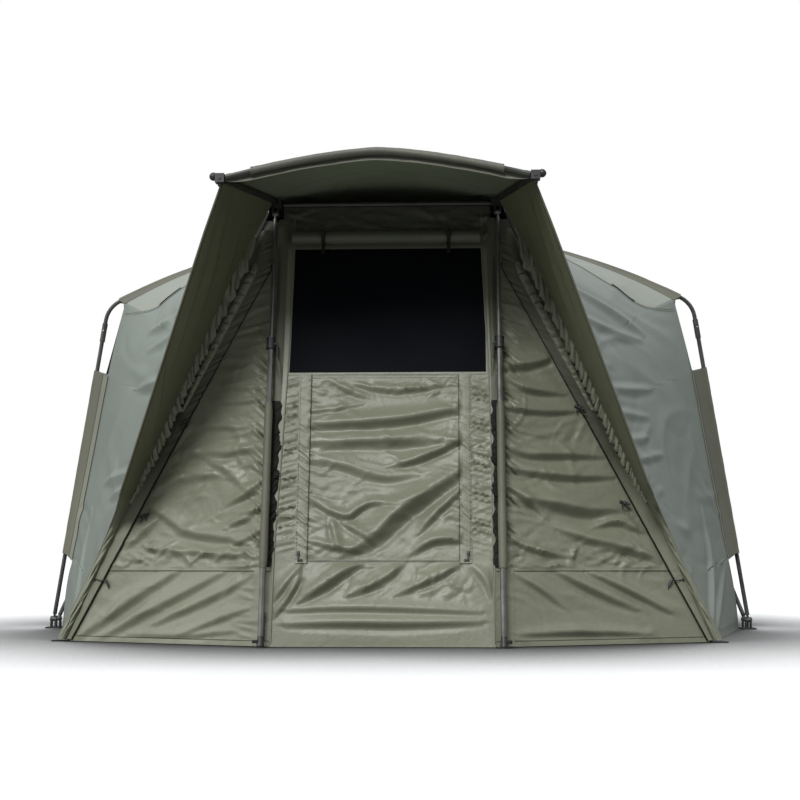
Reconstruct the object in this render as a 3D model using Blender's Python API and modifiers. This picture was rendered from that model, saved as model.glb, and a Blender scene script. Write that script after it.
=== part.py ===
"""One-man bivvy tent with a peaked hood, two folding ribs and two telescopic front poles.

Metres, Z up. The front faces -Y. Every piece is laid out from the plane of the main rib,
and the parent empty at the end of the script puts the whole on its centre.
"""
import math

import bmesh
import bpy
from mathutils import Matrix, Vector

# Clearances and stock
CLEAR = 0.0003
OVERRUN = 0.002
SHEET = 0.002
MESH_SHEET = 0.001
TUBE_R = 0.008
SLEEVE_WALL = 0.0016

# Ribs, whose feet stand side by side in the hinge blocks
HINGE_HEIGHT = 0.036
FOOT_HALF = 1.315
PIN_SPACING = 0.056

# Main rib, measured from its hinge pins
MAIN_RISE = 1.495
MAIN_LEAN = math.radians(8.4)
MAIN_ROOF_R = 2.38
MAIN_BEND_R = 0.10
FERRULE_R = 0.0105
FERRULE_LENGTH = 0.075
FERRULE_BELOW_BEND = 0.012
SHOULDER_TAIL = 0.14
SIDE_SLEEVE_START = 0.25
SLEEVE_BELOW_FERRULE = 0.116
TOP_SLEEVE_AFTER_BEND = 0.035
SKIN_INSIDE_FOOT = 0.035

# Rear rib, on its own pins behind the main ones
REAR_RISE = 1.25
REAR_LEAN = math.radians(9.0)
REAR_ROOF_R = 2.2
REAR_BEND_R = 0.12
REAR_TILT = math.radians(42.0)
REAR_HEM_BEHIND = 0.99
REAR_HEM_HALF = 1.17
HEM_SQUARENESS_SHARE = 0.6

# Hinges
PIN_R = 0.004
EYE_R = 0.010
EYE_WIDTH = 0.012
NECK_LENGTH = 0.018
CHEEK = 0.005
BASE_PLATE = 0.006
BASE_MARGIN = 0.022
BASE_FLANGE = 0.014

# Hubs under the roof, where poles, arms and bars meet
HUB_HALF = 0.357
HUB_FORWARD = 0.941
HUB_HEIGHT = 1.403
HUB_WIDTH = 0.040
HUB_LENGTH = 0.062
HUB_DEPTH = 0.024
HUB_PIN_DROP = 0.038
BAR_SPREAD = 0.14
BAR_CLIP_GAP = 0.0008
SKIN_BEHIND_HUB = 0.055
ROOF_LIFT = 0.004

# Brow, the peak over the door
BROW_HALF = 0.445
BROW_FORWARD = 1.483
BROW_HEIGHT = 1.328
BROW_RISE = 0.076
BROW_POWER_SHARE = 1.5
BROW_SLEEVE_HALF = 0.355
CORNER_BLOCK = 0.026
CORNER_BALL_R = 0.012
ROOF_CROWN = 0.05

# Telescopic poles
POLE_FOOT_FORWARD = 1.184
POLE_INNER_R = 0.0065
POLE_OUTER_R = 0.0088
POLE_SPLIT_HEIGHT = 0.945
POLE_INSERT = 0.42
FOOT_R = 0.012
FOOT_HEIGHT = 0.034
FOOT_LIP = 0.004
FOOT_LIP_R = 0.018
COLLAR_R = 0.0145
COLLAR_HEIGHT = 0.034
LEVER_LENGTH = 0.040
LEVER_WIDTH = 0.010
LEVER_THICK = 0.004
LEVER_PIN_R = 0.0015
LEVER_EYE_R = 0.0035
LUG_THICK = 0.0025

# Front panels
PANEL_BACK = 0.030
SEAM_HALF = 0.334
DOOR_HALF = 0.250
DOOR_BOTTOM = 0.256
DOOR_TOP = 0.828
WINDOW_HALF = 0.315
WINDOW_BOTTOM = 0.834
WINDOW_TOP = 1.255
DOOR_SIDE_GAP = 0.0005
DOOR_FOLD = 0.009
SKIRT_FOLD = 0.012
ROLL_R = 0.024
ROLL_HALF = 0.300
TOGGLE_R = 0.0045
TOGGLE_LENGTH = 0.034
TOGGLE_X = 0.200

# Zip lines, from the hubs to the front ground corners
ZIP_R = 0.005
ZIP_TOP_OUT = 0.034
ZIP_TOP_DROP = 0.030
CORNER_HALF = 1.020
CORNER_FORWARD = 0.857
SLIDER_R = 0.0019
SLIDER_LENGTH = 0.026
SLIDER_PLACE_SHARE = 0.86
DOOR_SLIDER_WIDTH = 0.009
DOOR_SLIDER_THICK = 0.004
DOOR_SLIDER_LENGTH = 0.018

# Wings of the hood, from the zip line to the free front edge
WING_TIP_HALF = 0.455
WING_TIP_DROP = 0.030
WING_TIP_BACK = 0.020
POINT_HALF = 0.800
POINT_FORWARD = 1.090
POINT_HEIGHT = 0.490
TAPER_HALF = 0.905
TAPER_FORWARD = 0.975
TAPER_HEIGHT = 0.245
WING_FOOT_OUT = 0.022
WING_FOOT_FORWARD = 0.060
WING_POINT_SHARE = 0.655
WING_TAPER_SHARE = 0.82
WING_BOW = 0.012
WING_BEFORE_HUB = 0.030

# Skins
SKIN_SAG = 0.035
REAR_SAG = 0.03
SKIN_START_SHARE = 0.12
HEM_LIFT = 0.0015

# Peg loops
LOOP_LENGTH = 0.046
LOOP_HALF_WIDTH = 0.011
LOOP_R = 0.0022
REAR_LOOP_SHARE = 0.6

# Counts
BEND_STEPS = 6
ROOF_STEPS = 10
SKIN_ROWS = 14
SKIN_COLUMNS = 8
SIDE_ROWS = 5
WING_ROWS = 12
WING_COLUMNS = 4
DOOR_ROWS = 10
DOOR_COLUMNS = 14
SKIRT_ROWS = 10
SKIRT_COLUMNS = 8
ROOF_COLUMNS = 10
FRONT_ROWS = 3
BACK_ROWS = 4
ROD_SIDES = 16
TUBE_BEVEL_STEPS = 2
LOOP_STEPS = 8
DOOR_FOLDS = 3
SKIRT_FOLDS = 2

SLEEVE_R = TUBE_R + CLEAR + SLEEVE_WALL
DOOR_HINGE_GAP = SHEET
NECK_R = EYE_WIDTH / 2 - EYE_R * math.tan(max(MAIN_LEAN, REAR_LEAN))
SIDES = {"left": -1, "right": 1}

OLIVE = (0.115, 0.125, 0.085)
DARK_OLIVE = (0.05, 0.055, 0.045)
SKIN_GREEN = (0.20, 0.235, 0.19)
METAL = (0.20, 0.20, 0.19)
BLACK = (0.02, 0.02, 0.02)


def clear_scene():
    for obj in list(bpy.data.objects):
        bpy.data.objects.remove(obj, do_unlink=True)
    for collection in list(bpy.data.collections):
        bpy.data.collections.remove(collection)


def new_collection(name):
    collection = bpy.data.collections.new(name)
    bpy.context.scene.collection.children.link(collection)
    return collection


clear_scene()
PARTS = new_collection("bivvy_tent")
CUTTERS = new_collection("cutters")


# Points and paths

def along(path, length):
    """Point on a polyline at a length from its start."""
    for a, b in zip(path, path[1:]):
        step = (b - a).length
        if length <= step:
            return a.lerp(b, max(length, 0) / step)
        length -= step
    return path[-1].copy()


def beside(path, length, target, gap):
    """Point at a gap beside a polyline, square to it and on the side of a target."""
    point = along(path, length)
    middle = max(length, OVERRUN)
    run = (along(path, middle + OVERRUN) - along(path, middle - OVERRUN)).normalized()
    toward = target - point
    return point + (toward - run * toward.dot(run)).normalized() * gap


def path_length(path):
    return sum((b - a).length for a, b in zip(path, path[1:]))


def section(path, start, end):
    """Part of a polyline between two lengths, with the corners in between."""
    points = [along(path, start)]
    run = 0
    for a, b in zip(path, path[1:]):
        run += (b - a).length
        if start + OVERRUN < run < end - OVERRUN:
            points.append(b.copy())
    points.append(along(path, end))
    return points


def mirrored(points, sign):
    return [Vector((sign * p.x, p.y, p.z)) for p in points]


def rib_half(rise, lean, roof_r, bend_r):
    """Half outline of a rib in its own plane: straight side, bend and roof arc.

    Also the lengths along it at which the bend starts and ends.
    """
    foot = Vector((FOOT_HALF, 0))
    up = Vector((-math.sin(lean), math.cos(lean)))
    inward = Vector((-math.cos(lean), -math.sin(lean)))
    roof_centre = Vector((0, rise - roof_r))
    offset = foot + inward * bend_r - roof_centre
    dot = offset.dot(up)
    side = -dot + math.sqrt(dot * dot - offset.length_squared + (roof_r - bend_r) ** 2)
    bend_centre = foot + inward * bend_r + up * side
    reach = bend_centre - roof_centre
    turn_end = math.atan2(reach.y, reach.x)
    points = [foot]
    for i in range(BEND_STEPS + 1):
        angle = lean + (turn_end - lean) * i / BEND_STEPS
        points.append(bend_centre + bend_r * Vector((math.cos(angle), math.sin(angle))))
    for i in range(1, ROOF_STEPS + 1):
        angle = turn_end + (math.pi / 2 - turn_end) * i / ROOF_STEPS
        points.append(roof_centre + roof_r * Vector((math.cos(angle), math.sin(angle))))
    return points, side, side + bend_r * (turn_end - lean)


def lay_rib(flat, pin, tilt):
    """Turn a flat rib outline into place, leaning back from its pins."""
    return [Vector((p.x, pin.y + p.y * math.sin(tilt), pin.z + p.y * math.cos(tilt))) for p in flat]


MAIN_PIN = Vector((FOOT_HALF, 0, HINGE_HEIGHT))
REAR_PIN = Vector((FOOT_HALF, PIN_SPACING, HINGE_HEIGHT))
MAIN_FLAT, MAIN_BEND_START, MAIN_BEND_END = rib_half(MAIN_RISE, MAIN_LEAN, MAIN_ROOF_R, MAIN_BEND_R)
REAR_FLAT, REAR_BEND_START, REAR_BEND_END = rib_half(REAR_RISE, REAR_LEAN, REAR_ROOF_R, REAR_BEND_R)
MAIN_PATH = lay_rib(MAIN_FLAT, MAIN_PIN, 0)
REAR_PATH = lay_rib(REAR_FLAT, REAR_PIN, REAR_TILT)
MAIN_LENGTH = path_length(MAIN_PATH)
REAR_LENGTH = path_length(REAR_PATH)
FERRULE_START = MAIN_BEND_START - FERRULE_BELOW_BEND - FERRULE_LENGTH
SIDE_SLEEVE_END = FERRULE_START - SLEEVE_BELOW_FERRULE
TOP_SLEEVE_START = MAIN_BEND_END + TOP_SLEEVE_AFTER_BEND

HUB = Vector((HUB_HALF, -HUB_FORWARD, HUB_HEIGHT))
HUB_PIN = Vector((HUB_HALF, -HUB_FORWARD, HUB_HEIGHT - HUB_PIN_DROP))
POLE_FOOT = Vector((HUB_HALF, -POLE_FOOT_FORWARD, 0))
POLE_AXIS = (POLE_FOOT - HUB_PIN).normalized()
POLE_SLOPE = (POLE_FOOT.y - HUB_PIN.y) / HUB_PIN.z
BROW_CORNER = Vector((BROW_HALF, -BROW_FORWARD, BROW_HEIGHT))
ZIP_TOP = Vector((HUB_HALF + ZIP_TOP_OUT, -HUB_FORWARD, HUB_HEIGHT - ZIP_TOP_DROP))
ZIP_FOOT = Vector((CORNER_HALF, -CORNER_FORWARD, ZIP_R))


def pole_point(height):
    """Point on a pole's axis at a height."""
    return HUB_PIN + POLE_AXIS * ((height - HUB_PIN.z) / POLE_AXIS.z)


def panel_point(x, height):
    """Point on the plane of the front panel, which hangs behind the poles."""
    return Vector((x, POLE_FOOT.y + PANEL_BACK - POLE_SLOPE * height, height))


# The cross bar lies in the panel's plane, so the panel hangs straight below it
CROSS_BAR_BACK = panel_point(0, HUB_HEIGHT - TUBE_R).y - HUB.y


def zip_point(share):
    return ZIP_TOP.lerp(ZIP_FOOT, share)


def beside_zip(share, target):
    """Edge of a panel that is sewn to the zip, on the side of a target."""
    line = [ZIP_TOP, ZIP_FOOT]
    return beside(line, path_length(line) * share, target, ZIP_R + CLEAR)


def wing_edge(share):
    """Free front edge of a wing: hood tip, point on the zip line, taper, ground."""
    tip = Vector((WING_TIP_HALF, -BROW_FORWARD + WING_TIP_BACK, BROW_HEIGHT - WING_TIP_DROP))
    point = Vector((POINT_HALF, -POINT_FORWARD, POINT_HEIGHT))
    taper = Vector((TAPER_HALF, -TAPER_FORWARD, TAPER_HEIGHT))
    foot = ZIP_FOOT + Vector((WING_FOOT_OUT, -WING_FOOT_FORWARD, SHEET))
    stations = [(0, tip), (WING_POINT_SHARE, point), (WING_TAPER_SHARE, taper), (1, foot)]
    for (s0, a), (s1, b) in zip(stations, stations[1:]):
        if share <= s1:
            return a.lerp(b, (share - s0) / (s1 - s0))
    return foot


def brow_height(x):
    """Height of the brow bar's axis, a shallow peak."""
    return BROW_HEIGHT + BROW_RISE * (1 - abs(x / BROW_HALF) ** BROW_POWER_SHARE)


def main_roof_height(x):
    """Height of the main rib's axis over a place on its roof."""
    for a, b in zip(MAIN_PATH[::-1], MAIN_PATH[-2::-1]):
        if abs(x) <= b.x:
            return a.lerp(b, (abs(x) - a.x) / (b.x - a.x)).z
    return HINGE_HEIGHT


def corner_lengths(path, start):
    """Lengths from a path's foot to its corners, from a start onward."""
    lengths = [start]
    run = 0
    for a, b in zip(path, path[1:]):
        run += (b - a).length
        if run > start + OVERRUN:
            lengths.append(run)
    return lengths


# Solids

def add_mesh(name, bm):
    mesh = bpy.data.meshes.new(name)
    bmesh.ops.recalc_face_normals(bm, faces=bm.faces)
    bm.to_mesh(mesh)
    bm.free()
    obj = bpy.data.objects.new(name, mesh)
    PARTS.objects.link(obj)
    return obj


def box(name, size, centre):
    bm = bmesh.new()
    bmesh.ops.create_cube(bm, size=1, matrix=Matrix.Translation(centre) @ Matrix.Diagonal((*size, 1)))
    return add_mesh(name, bm)


def turn_to(direction):
    return direction.to_track_quat("Z", "Y").to_matrix().to_4x4()


def rod(name, a, b, radius, end_radius=None):
    """Cylinder or cone between two points."""
    bm = bmesh.new()
    bmesh.ops.create_cone(
        bm, cap_ends=True, segments=ROD_SIDES, radius1=radius,
        radius2=radius if end_radius is None else end_radius, depth=(b - a).length,
        matrix=Matrix.Translation((a + b) / 2) @ turn_to(b - a))
    obj = add_mesh(name, bm)
    obj.data.shade_smooth()
    return obj


def cross_rod(name, centre, length, radius):
    """Cylinder along X."""
    reach = Vector((length / 2, 0, 0))
    return rod(name, centre - reach, centre + reach, radius)


def tube(name, points, radius, shares=None, closed=False, capped=True):
    """Swept tube along a polyline. The shares scale its radius at each point."""
    curve = bpy.data.curves.new(name, "CURVE")
    curve.dimensions = "3D"
    curve.bevel_depth = radius
    curve.bevel_resolution = TUBE_BEVEL_STEPS
    curve.use_fill_caps = capped
    spline = curve.splines.new("POLY")
    spline.points.add(len(points) - 1)
    spline.use_cyclic_u = closed
    for i, point in enumerate(points):
        spline.points[i].co = (*point, 1)
        spline.points[i].radius = shares[i] if shares else 1
    swept = bpy.data.objects.new(name + "_path", curve)
    PARTS.objects.link(swept)
    bpy.context.view_layer.update()
    bm = bmesh.new()
    bm.from_mesh(swept.evaluated_get(bpy.context.evaluated_depsgraph_get()).to_mesh())
    bmesh.ops.remove_doubles(bm, verts=bm.verts, dist=CLEAR / 10)
    bpy.data.objects.remove(swept, do_unlink=True)
    bpy.data.curves.remove(curve)
    obj = add_mesh(name, bm)
    obj.data.shade_smooth()
    return obj


def sleeve(name, points, bore_r, wall):
    """Fabric or plastic sleeve, open at both ends, round a path."""
    obj = tube(name, points, bore_r + wall, capped=False)
    shell = obj.modifiers.new("wall", "SOLIDIFY")
    shell.thickness = wall
    shell.offset = -1
    shell.use_even_offset = True
    return obj


def sheet(name, rows, thickness=SHEET, skip=None):
    """Sheet of cloth through a grid of points, with its thickness. Cells in skip are left open."""
    bm = bmesh.new()
    grid = [[bm.verts.new(p) for p in row] for row in rows]
    for i in range(len(rows) - 1):
        for j in range(len(rows[0]) - 1):
            if skip and skip(i, j):
                continue
            bm.faces.new((grid[i][j], grid[i][j + 1], grid[i + 1][j + 1], grid[i + 1][j]))
    loose = [v for v in bm.verts if not v.link_faces]
    bmesh.ops.delete(bm, geom=loose, context="VERTS")
    obj = add_mesh(name, bm)
    shell = obj.modifiers.new("thickness", "SOLIDIFY")
    shell.thickness = thickness
    shell.offset = 0
    shell.use_even_offset = True
    return obj


def boolean(target, other, operation):
    step = target.modifiers.new(operation.lower(), "BOOLEAN")
    step.operation = operation
    step.solver = "EXACT"
    step.object = other
    PARTS.objects.unlink(other)
    CUTTERS.objects.link(other)
    other.hide_render = True
    other.display_type = "WIRE"
    other.parent = target
    return target


def cut(target, cutter):
    return boolean(target, cutter, "DIFFERENCE")


def fuse(target, *others):
    for other in others:
        boolean(target, other, "UNION")
    return target


def paint(obj, colour, roughness, metallic=0):
    """Give a piece its own material."""
    material = bpy.data.materials.new(obj.name)
    material.use_nodes = True
    shader = material.node_tree.nodes["Principled BSDF"]
    shader.inputs["Base Color"].default_value = (*colour, 1)
    shader.inputs["Roughness"].default_value = roughness
    shader.inputs["Metallic"].default_value = metallic
    obj.data.materials.clear()
    obj.data.materials.append(material)
    return obj


# Placing

ROOT = bpy.data.objects.new("bivvy_tent_centre", None)
PARTS.objects.link(ROOT)
PIVOT_PLACES = {ROOT: Vector((0, 0, 0))}


def pivot(name, place, parent=ROOT):
    """Empty on a joint's axis."""
    empty = bpy.data.objects.new(name, None)
    PARTS.objects.link(empty)
    empty.parent = parent
    empty.location = place - PIVOT_PLACES[parent]
    PIVOT_PLACES[empty] = place
    return empty


def ride(obj, empty):
    """Hang a piece, built where it lies, on a pivot so that its origin is on the axis."""
    shift = Matrix.Translation(-PIVOT_PLACES[empty])
    obj.data.transform(shift)
    for step in obj.modifiers:
        if step.type == "BOOLEAN":
            step.object.data.transform(shift)
    obj.parent = empty
    return obj


# Hinges

def clevis(name, base_centre, base_size, pins, reach):
    """Base with a pair of cheeks and a pin for each eye that turns in it."""
    body = box(name, base_size, base_centre)
    sense = 1 if reach > 0 else -1
    root_z = base_centre.z + sense * (base_size[2] / 2 - OVERRUN / 2)
    for pin in pins:
        for side in (-1, 1):
            x = pin.x + side * (EYE_WIDTH / 2 + CLEAR + CHEEK / 2)
            height = abs(pin.z - root_z)
            web = box(name + "_web", (CHEEK, 2 * EYE_R, height), Vector((x, pin.y, (pin.z + root_z) / 2)))
            head = cross_rod(name + "_head", Vector((x, pin.y, pin.z)), CHEEK, EYE_R)
            fuse(body, web, head)
        span = EYE_WIDTH + 2 * CLEAR + 2 * CHEEK
        fuse(body, cross_rod(name + "_pin", pin, span + OVERRUN, PIN_R))
    return body


def tube_with_eye(name, pin, points, radius):
    """Tube that starts with a thin neck and an eye that turns on a pin."""
    direction = (points[0] - pin).normalized()
    neck = [pin, points[0] - direction * OVERRUN]
    body = tube(name, neck + points, radius, [NECK_R / radius] * len(neck) + [1] * len(points))
    fuse(body, cross_rod(name + "_eye", pin, EYE_WIDTH, EYE_R - CLEAR))
    cut(body, cross_rod(name + "_bore", pin, EYE_WIDTH + 2 * OVERRUN, PIN_R + CLEAR))
    return body


def hinge_block(side):
    """Ground block that carries the feet of both ribs."""
    sign = SIDES[side]
    pins = mirrored([MAIN_PIN, REAR_PIN], sign)
    length = PIN_SPACING + 2 * BASE_MARGIN
    width = EYE_WIDTH + 2 * (CLEAR + CHEEK + BASE_FLANGE)
    centre = Vector((sign * MAIN_PIN.x, PIN_SPACING / 2, BASE_PLATE / 2))
    block = clevis("hinge_block_" + side, centre, (width, length, BASE_PLATE), pins, 1)
    return paint(block, BLACK, 0.55)


# Main rib and its sleeves

def main_rib_side(side):
    points = mirrored(section(MAIN_PATH, NECK_LENGTH, FERRULE_START - CLEAR), SIDES[side])
    pin = mirrored([MAIN_PIN], SIDES[side])[0]
    return paint(tube_with_eye("main_rib_side_" + side, pin, points, TUBE_R), METAL, 0.4, 0.8)


def main_rib_shoulder(side):
    """Bent piece with the ferrule that the straight side pushes into."""
    ferrule_end = FERRULE_START + FERRULE_LENGTH
    path = section(MAIN_PATH, ferrule_end, MAIN_BEND_END + SHOULDER_TAIL)
    wide = section(MAIN_PATH, FERRULE_START, ferrule_end - OVERRUN)
    points = mirrored(wide + path, SIDES[side])
    shares = [FERRULE_R / TUBE_R] * len(wide) + [1] * len(path)
    return paint(tube("main_rib_shoulder_" + side, points, TUBE_R, shares), METAL, 0.4, 0.8)


def main_rib_top():
    half = section(MAIN_PATH, MAIN_BEND_END + SHOULDER_TAIL + CLEAR, MAIN_LENGTH)
    points = mirrored(half, -1) + half[-2::-1]
    return paint(tube("main_rib_top", points, TUBE_R), METAL, 0.4, 0.8)


def main_sleeve_side(side):
    points = mirrored(section(MAIN_PATH, SIDE_SLEEVE_START, SIDE_SLEEVE_END), SIDES[side])
    return paint(sleeve("main_sleeve_side_" + side, points, TUBE_R + CLEAR, SLEEVE_WALL), SKIN_GREEN, 0.9)


def main_sleeve_top():
    half = section(MAIN_PATH, TOP_SLEEVE_START, MAIN_LENGTH)
    points = mirrored(half, -1) + half[-2::-1]
    return paint(sleeve("main_sleeve_top", points, TUBE_R + CLEAR, SLEEVE_WALL), SKIN_GREEN, 0.9)


# Rear rib

def rear_rib_side(side):
    points = mirrored(section(REAR_PATH, NECK_LENGTH, REAR_BEND_START - FERRULE_LENGTH - CLEAR), SIDES[side])
    pin = mirrored([REAR_PIN], SIDES[side])[0]
    return paint(tube_with_eye("rear_rib_side_" + side, pin, points, TUBE_R), METAL, 0.4, 0.8)


def rear_rib_top():
    """Roof of the rear rib, with a ferrule at each end."""
    ferrule_end = REAR_BEND_START
    wide = section(REAR_PATH, ferrule_end - FERRULE_LENGTH, ferrule_end - OVERRUN)
    half = section(REAR_PATH, ferrule_end, REAR_LENGTH)
    points = mirrored(wide + half, -1) + (wide + half)[-2::-1]
    half_shares = [FERRULE_R / TUBE_R] * len(wide) + [1] * len(half)
    shares = half_shares + half_shares[-2::-1]
    return paint(tube("rear_rib_top", points, TUBE_R, shares), METAL, 0.4, 0.8)


# Hubs, bars and brow

def hub(side):
    """Moulded hub: a block that takes the arm, the bars and the eye of the pole."""
    sign = SIDES[side]
    top = HUB_HEIGHT + TUBE_R / 2
    centre = Vector((sign * HUB.x, HUB.y + CROSS_BAR_BACK / 2, top - HUB_DEPTH / 2))
    pin = Vector((sign * HUB_PIN.x, HUB_PIN.y, HUB_PIN.z))
    block = clevis("hub_" + side, centre, (HUB_WIDTH, HUB_LENGTH, HUB_DEPTH), [pin], -1)
    return paint(block, BLACK, 0.5)


def hub_front():
    return HUB.y + CROSS_BAR_BACK / 2 - HUB_LENGTH / 2


def hub_back():
    return HUB.y + CROSS_BAR_BACK / 2 + HUB_LENGTH / 2


def slanted_gap(direction):
    """Length along a slanted tube that keeps its square end clear of a face across Y."""
    return (CLEAR + TUBE_R * math.sqrt(1 - direction.y ** 2)) / abs(direction.y)


def arm_ends():
    """Ends of the arm from the hub's front face to the corner block's back face."""
    start = Vector((HUB_HALF, hub_front(), HUB_HEIGHT))
    direction = (BROW_CORNER - start).normalized()
    reach = CORNER_BLOCK / 2 / abs(direction.y) + slanted_gap(direction)
    return start + direction * slanted_gap(direction), BROW_CORNER - direction * reach


def bar_ends():
    """Ends of the roof bar from the hub's back face to its clip under the main rib."""
    start = Vector((HUB_HALF, hub_back(), HUB_HEIGHT))
    x = HUB_HALF + BAR_SPREAD
    end = Vector((x, 0, main_roof_height(x) - TUBE_R - SLEEVE_R - BAR_CLIP_GAP))
    direction = (end - start).normalized()
    return start + direction * slanted_gap(direction), end


def brow_arm(side):
    a, b = mirrored(arm_ends(), SIDES[side])
    return paint(tube("brow_arm_" + side, [a, b], TUBE_R), METAL, 0.4, 0.8)


def tension_bar(side):
    a, b = mirrored(bar_ends(), SIDES[side])
    return paint(tube("tension_bar_" + side, [a, b], TUBE_R), METAL, 0.4, 0.8)


def cross_bar():
    reach = HUB_HALF - HUB_WIDTH / 2 - CLEAR
    y = HUB.y + CROSS_BAR_BACK
    ends = [Vector((-reach, y, HUB_HEIGHT)), Vector((reach, y, HUB_HEIGHT))]
    return paint(tube("cross_bar", ends, TUBE_R), METAL, 0.4, 0.8)


def brow_path():
    """Axis of the brow bar over the stretch that its sleeve covers."""
    steps = 2 * ROOF_STEPS
    places = [BROW_SLEEVE_HALF * (2 * i / steps - 1) for i in range(steps + 1)]
    return [Vector((x, -BROW_FORWARD, brow_height(x))) for x in places]


def brow_bar():
    end_slope = math.atan(BROW_RISE * BROW_POWER_SHARE / BROW_HALF)
    half = BROW_HALF - CORNER_BLOCK / 2 - CLEAR - TUBE_R * math.sin(end_slope)
    ends = [Vector((x, -BROW_FORWARD, brow_height(x))) for x in (-half, half)]
    return paint(tube("brow_bar", ends[:1] + brow_path() + ends[1:], TUBE_R), METAL, 0.4, 0.8)


def brow_sleeve():
    return paint(sleeve("brow_sleeve", brow_path(), TUBE_R + CLEAR, SLEEVE_WALL), OLIVE, 0.9)


def brow_corner(side):
    """Moulded corner with its ball end."""
    sign = SIDES[side]
    centre = Vector((sign * BROW_CORNER.x, BROW_CORNER.y, BROW_CORNER.z))
    body = box("brow_corner_" + side, (CORNER_BLOCK,) * 3, centre)
    neck_end = centre + Vector((sign * (CORNER_BLOCK / 2 + CORNER_BALL_R / 2), 0, CORNER_BALL_R / 2))
    bm = bmesh.new()
    bmesh.ops.create_uvsphere(
        bm, u_segments=ROD_SIDES, v_segments=ROD_SIDES // 2, radius=CORNER_BALL_R,
        matrix=Matrix.Translation(neck_end))
    fuse(body, add_mesh(body.name + "_ball", bm))
    return paint(body, BLACK, 0.5)


# Telescopic poles

def pole_upper(side):
    """Inner tube, which hangs from the hub and runs down inside the outer one."""
    ends = [HUB_PIN + POLE_AXIS * NECK_LENGTH, pole_point(POLE_SPLIT_HEIGHT - POLE_INSERT)]
    pin, start, end = mirrored([HUB_PIN] + ends, SIDES[side])
    return paint(tube_with_eye("pole_upper_" + side, pin, [start, end], POLE_INNER_R), METAL, 0.35, 0.9)


def pole_lower(side):
    """Outer tube, from the clamp down to the foot."""
    top = pole_point(POLE_SPLIT_HEIGHT)
    end = pole_point(FOOT_HEIGHT)
    points = mirrored([top, end], SIDES[side])
    wall = POLE_OUTER_R - POLE_INNER_R - CLEAR
    return paint(sleeve("pole_lower_" + side, points, POLE_INNER_R + CLEAR, wall), METAL, 0.4, 0.8)


def pole_foot(side):
    """Foot with a flat lip on the ground and a stem that takes the end of the pole."""
    seat, low = mirrored([pole_point(FOOT_HEIGHT) + POLE_AXIS * CLEAR, pole_point(FOOT_LIP)], SIDES[side])
    base = Vector((low.x, low.y, 0))
    body = rod("pole_foot_" + side, base, base + Vector((0, 0, FOOT_LIP)), FOOT_LIP_R)
    fuse(body, rod(body.name + "_stem", low, seat, FOOT_R, POLE_OUTER_R))
    return paint(body, BLACK, 0.6)


def pole_clamp(side):
    """Collar round the top of the outer tube, with a pin for its lever."""
    sign = SIDES[side]
    top = pole_point(POLE_SPLIT_HEIGHT)
    top = Vector((sign * top.x, top.y, top.z))
    bottom = top + POLE_AXIS * COLLAR_HEIGHT
    body = rod("pole_clamp_" + side, top, bottom, COLLAR_R)
    centre = lever_pin(side)
    for offset in (-1, 1):
        y = centre.y + offset * (LEVER_WIDTH / 2 + CLEAR + LUG_THICK / 2)
        reach = abs(centre.x - top.x)
        lug_centre = Vector(((centre.x + top.x) / 2, y, centre.z))
        lug = box(body.name + "_lug", (reach, LUG_THICK, 2 * LEVER_EYE_R), lug_centre)
        half = Vector((0, LUG_THICK / 2, 0))
        end = Vector((centre.x, y, centre.z))
        fuse(body, lug, rod(body.name + "_end", end - half, end + half, LEVER_EYE_R))
    half = Vector((0, LEVER_WIDTH / 2 + CLEAR + LUG_THICK / 2, 0))
    fuse(body, rod(body.name + "_pin", centre - half, centre + half, LEVER_PIN_R))
    over = POLE_AXIS * OVERRUN
    cut(body, rod(body.name + "_bore", top - over, bottom + over, POLE_OUTER_R + CLEAR))
    return paint(body, BLACK, 0.5)


def lever_pin(side):
    """Centre of the lever's pin, on the collar's side that faces the door."""
    sign = SIDES[side]
    middle = pole_point(POLE_SPLIT_HEIGHT) + POLE_AXIS * (COLLAR_HEIGHT / 2)
    return Vector((sign * (middle.x - COLLAR_R - LEVER_EYE_R - CLEAR), middle.y, middle.z))


def clamp_lever(side):
    """Cam lever that lies down along the pole when closed."""
    sign = SIDES[side]
    centre = lever_pin(side)
    half = Vector((0, LEVER_WIDTH / 2, 0))
    body = rod("clamp_lever_" + side, centre - half, centre + half, LEVER_EYE_R)
    place = centre + Vector((-sign * (LEVER_EYE_R - LEVER_THICK / 2), 0, -LEVER_LENGTH / 2))
    fuse(body, box(body.name + "_arm", (LEVER_THICK, LEVER_WIDTH, LEVER_LENGTH), place))
    over = Vector((0, LEVER_WIDTH / 2 + OVERRUN, 0))
    cut(body, rod(body.name + "_bore", centre - over, centre + over, LEVER_PIN_R + CLEAR))
    return paint(body, BLACK, 0.45)


# Front panels, door and window

def fold_relief(u, v, folds, depth):
    """Forward relief of hanging folds, zero at every edge."""
    edge = math.sin(math.pi * u) * math.sin(math.pi * v)
    return depth * edge * (1 + math.cos(2 * math.pi * folds * (u + v / 2))) / 2


def front_panel_center():
    """Middle panel between the poles, open for the door and the window."""
    top = HUB_HEIGHT - TUBE_R - CLEAR
    xs = [-SEAM_HALF, -WINDOW_HALF, -DOOR_HALF, DOOR_HALF, WINDOW_HALF, SEAM_HALF]
    zs = [HEM_LIFT, DOOR_BOTTOM, DOOR_TOP, WINDOW_BOTTOM, WINDOW_TOP, top]
    rows = [[panel_point(x, z) for x in xs] for z in zs]
    door_row, window_row = 1, 3

    def open_cell(i, j):
        door = i == door_row and j == 2
        window = i == window_row and 1 <= j <= 3
        return door or window

    return paint(sheet("front_panel_center", rows, skip=open_cell), OLIVE, 0.9)


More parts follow.
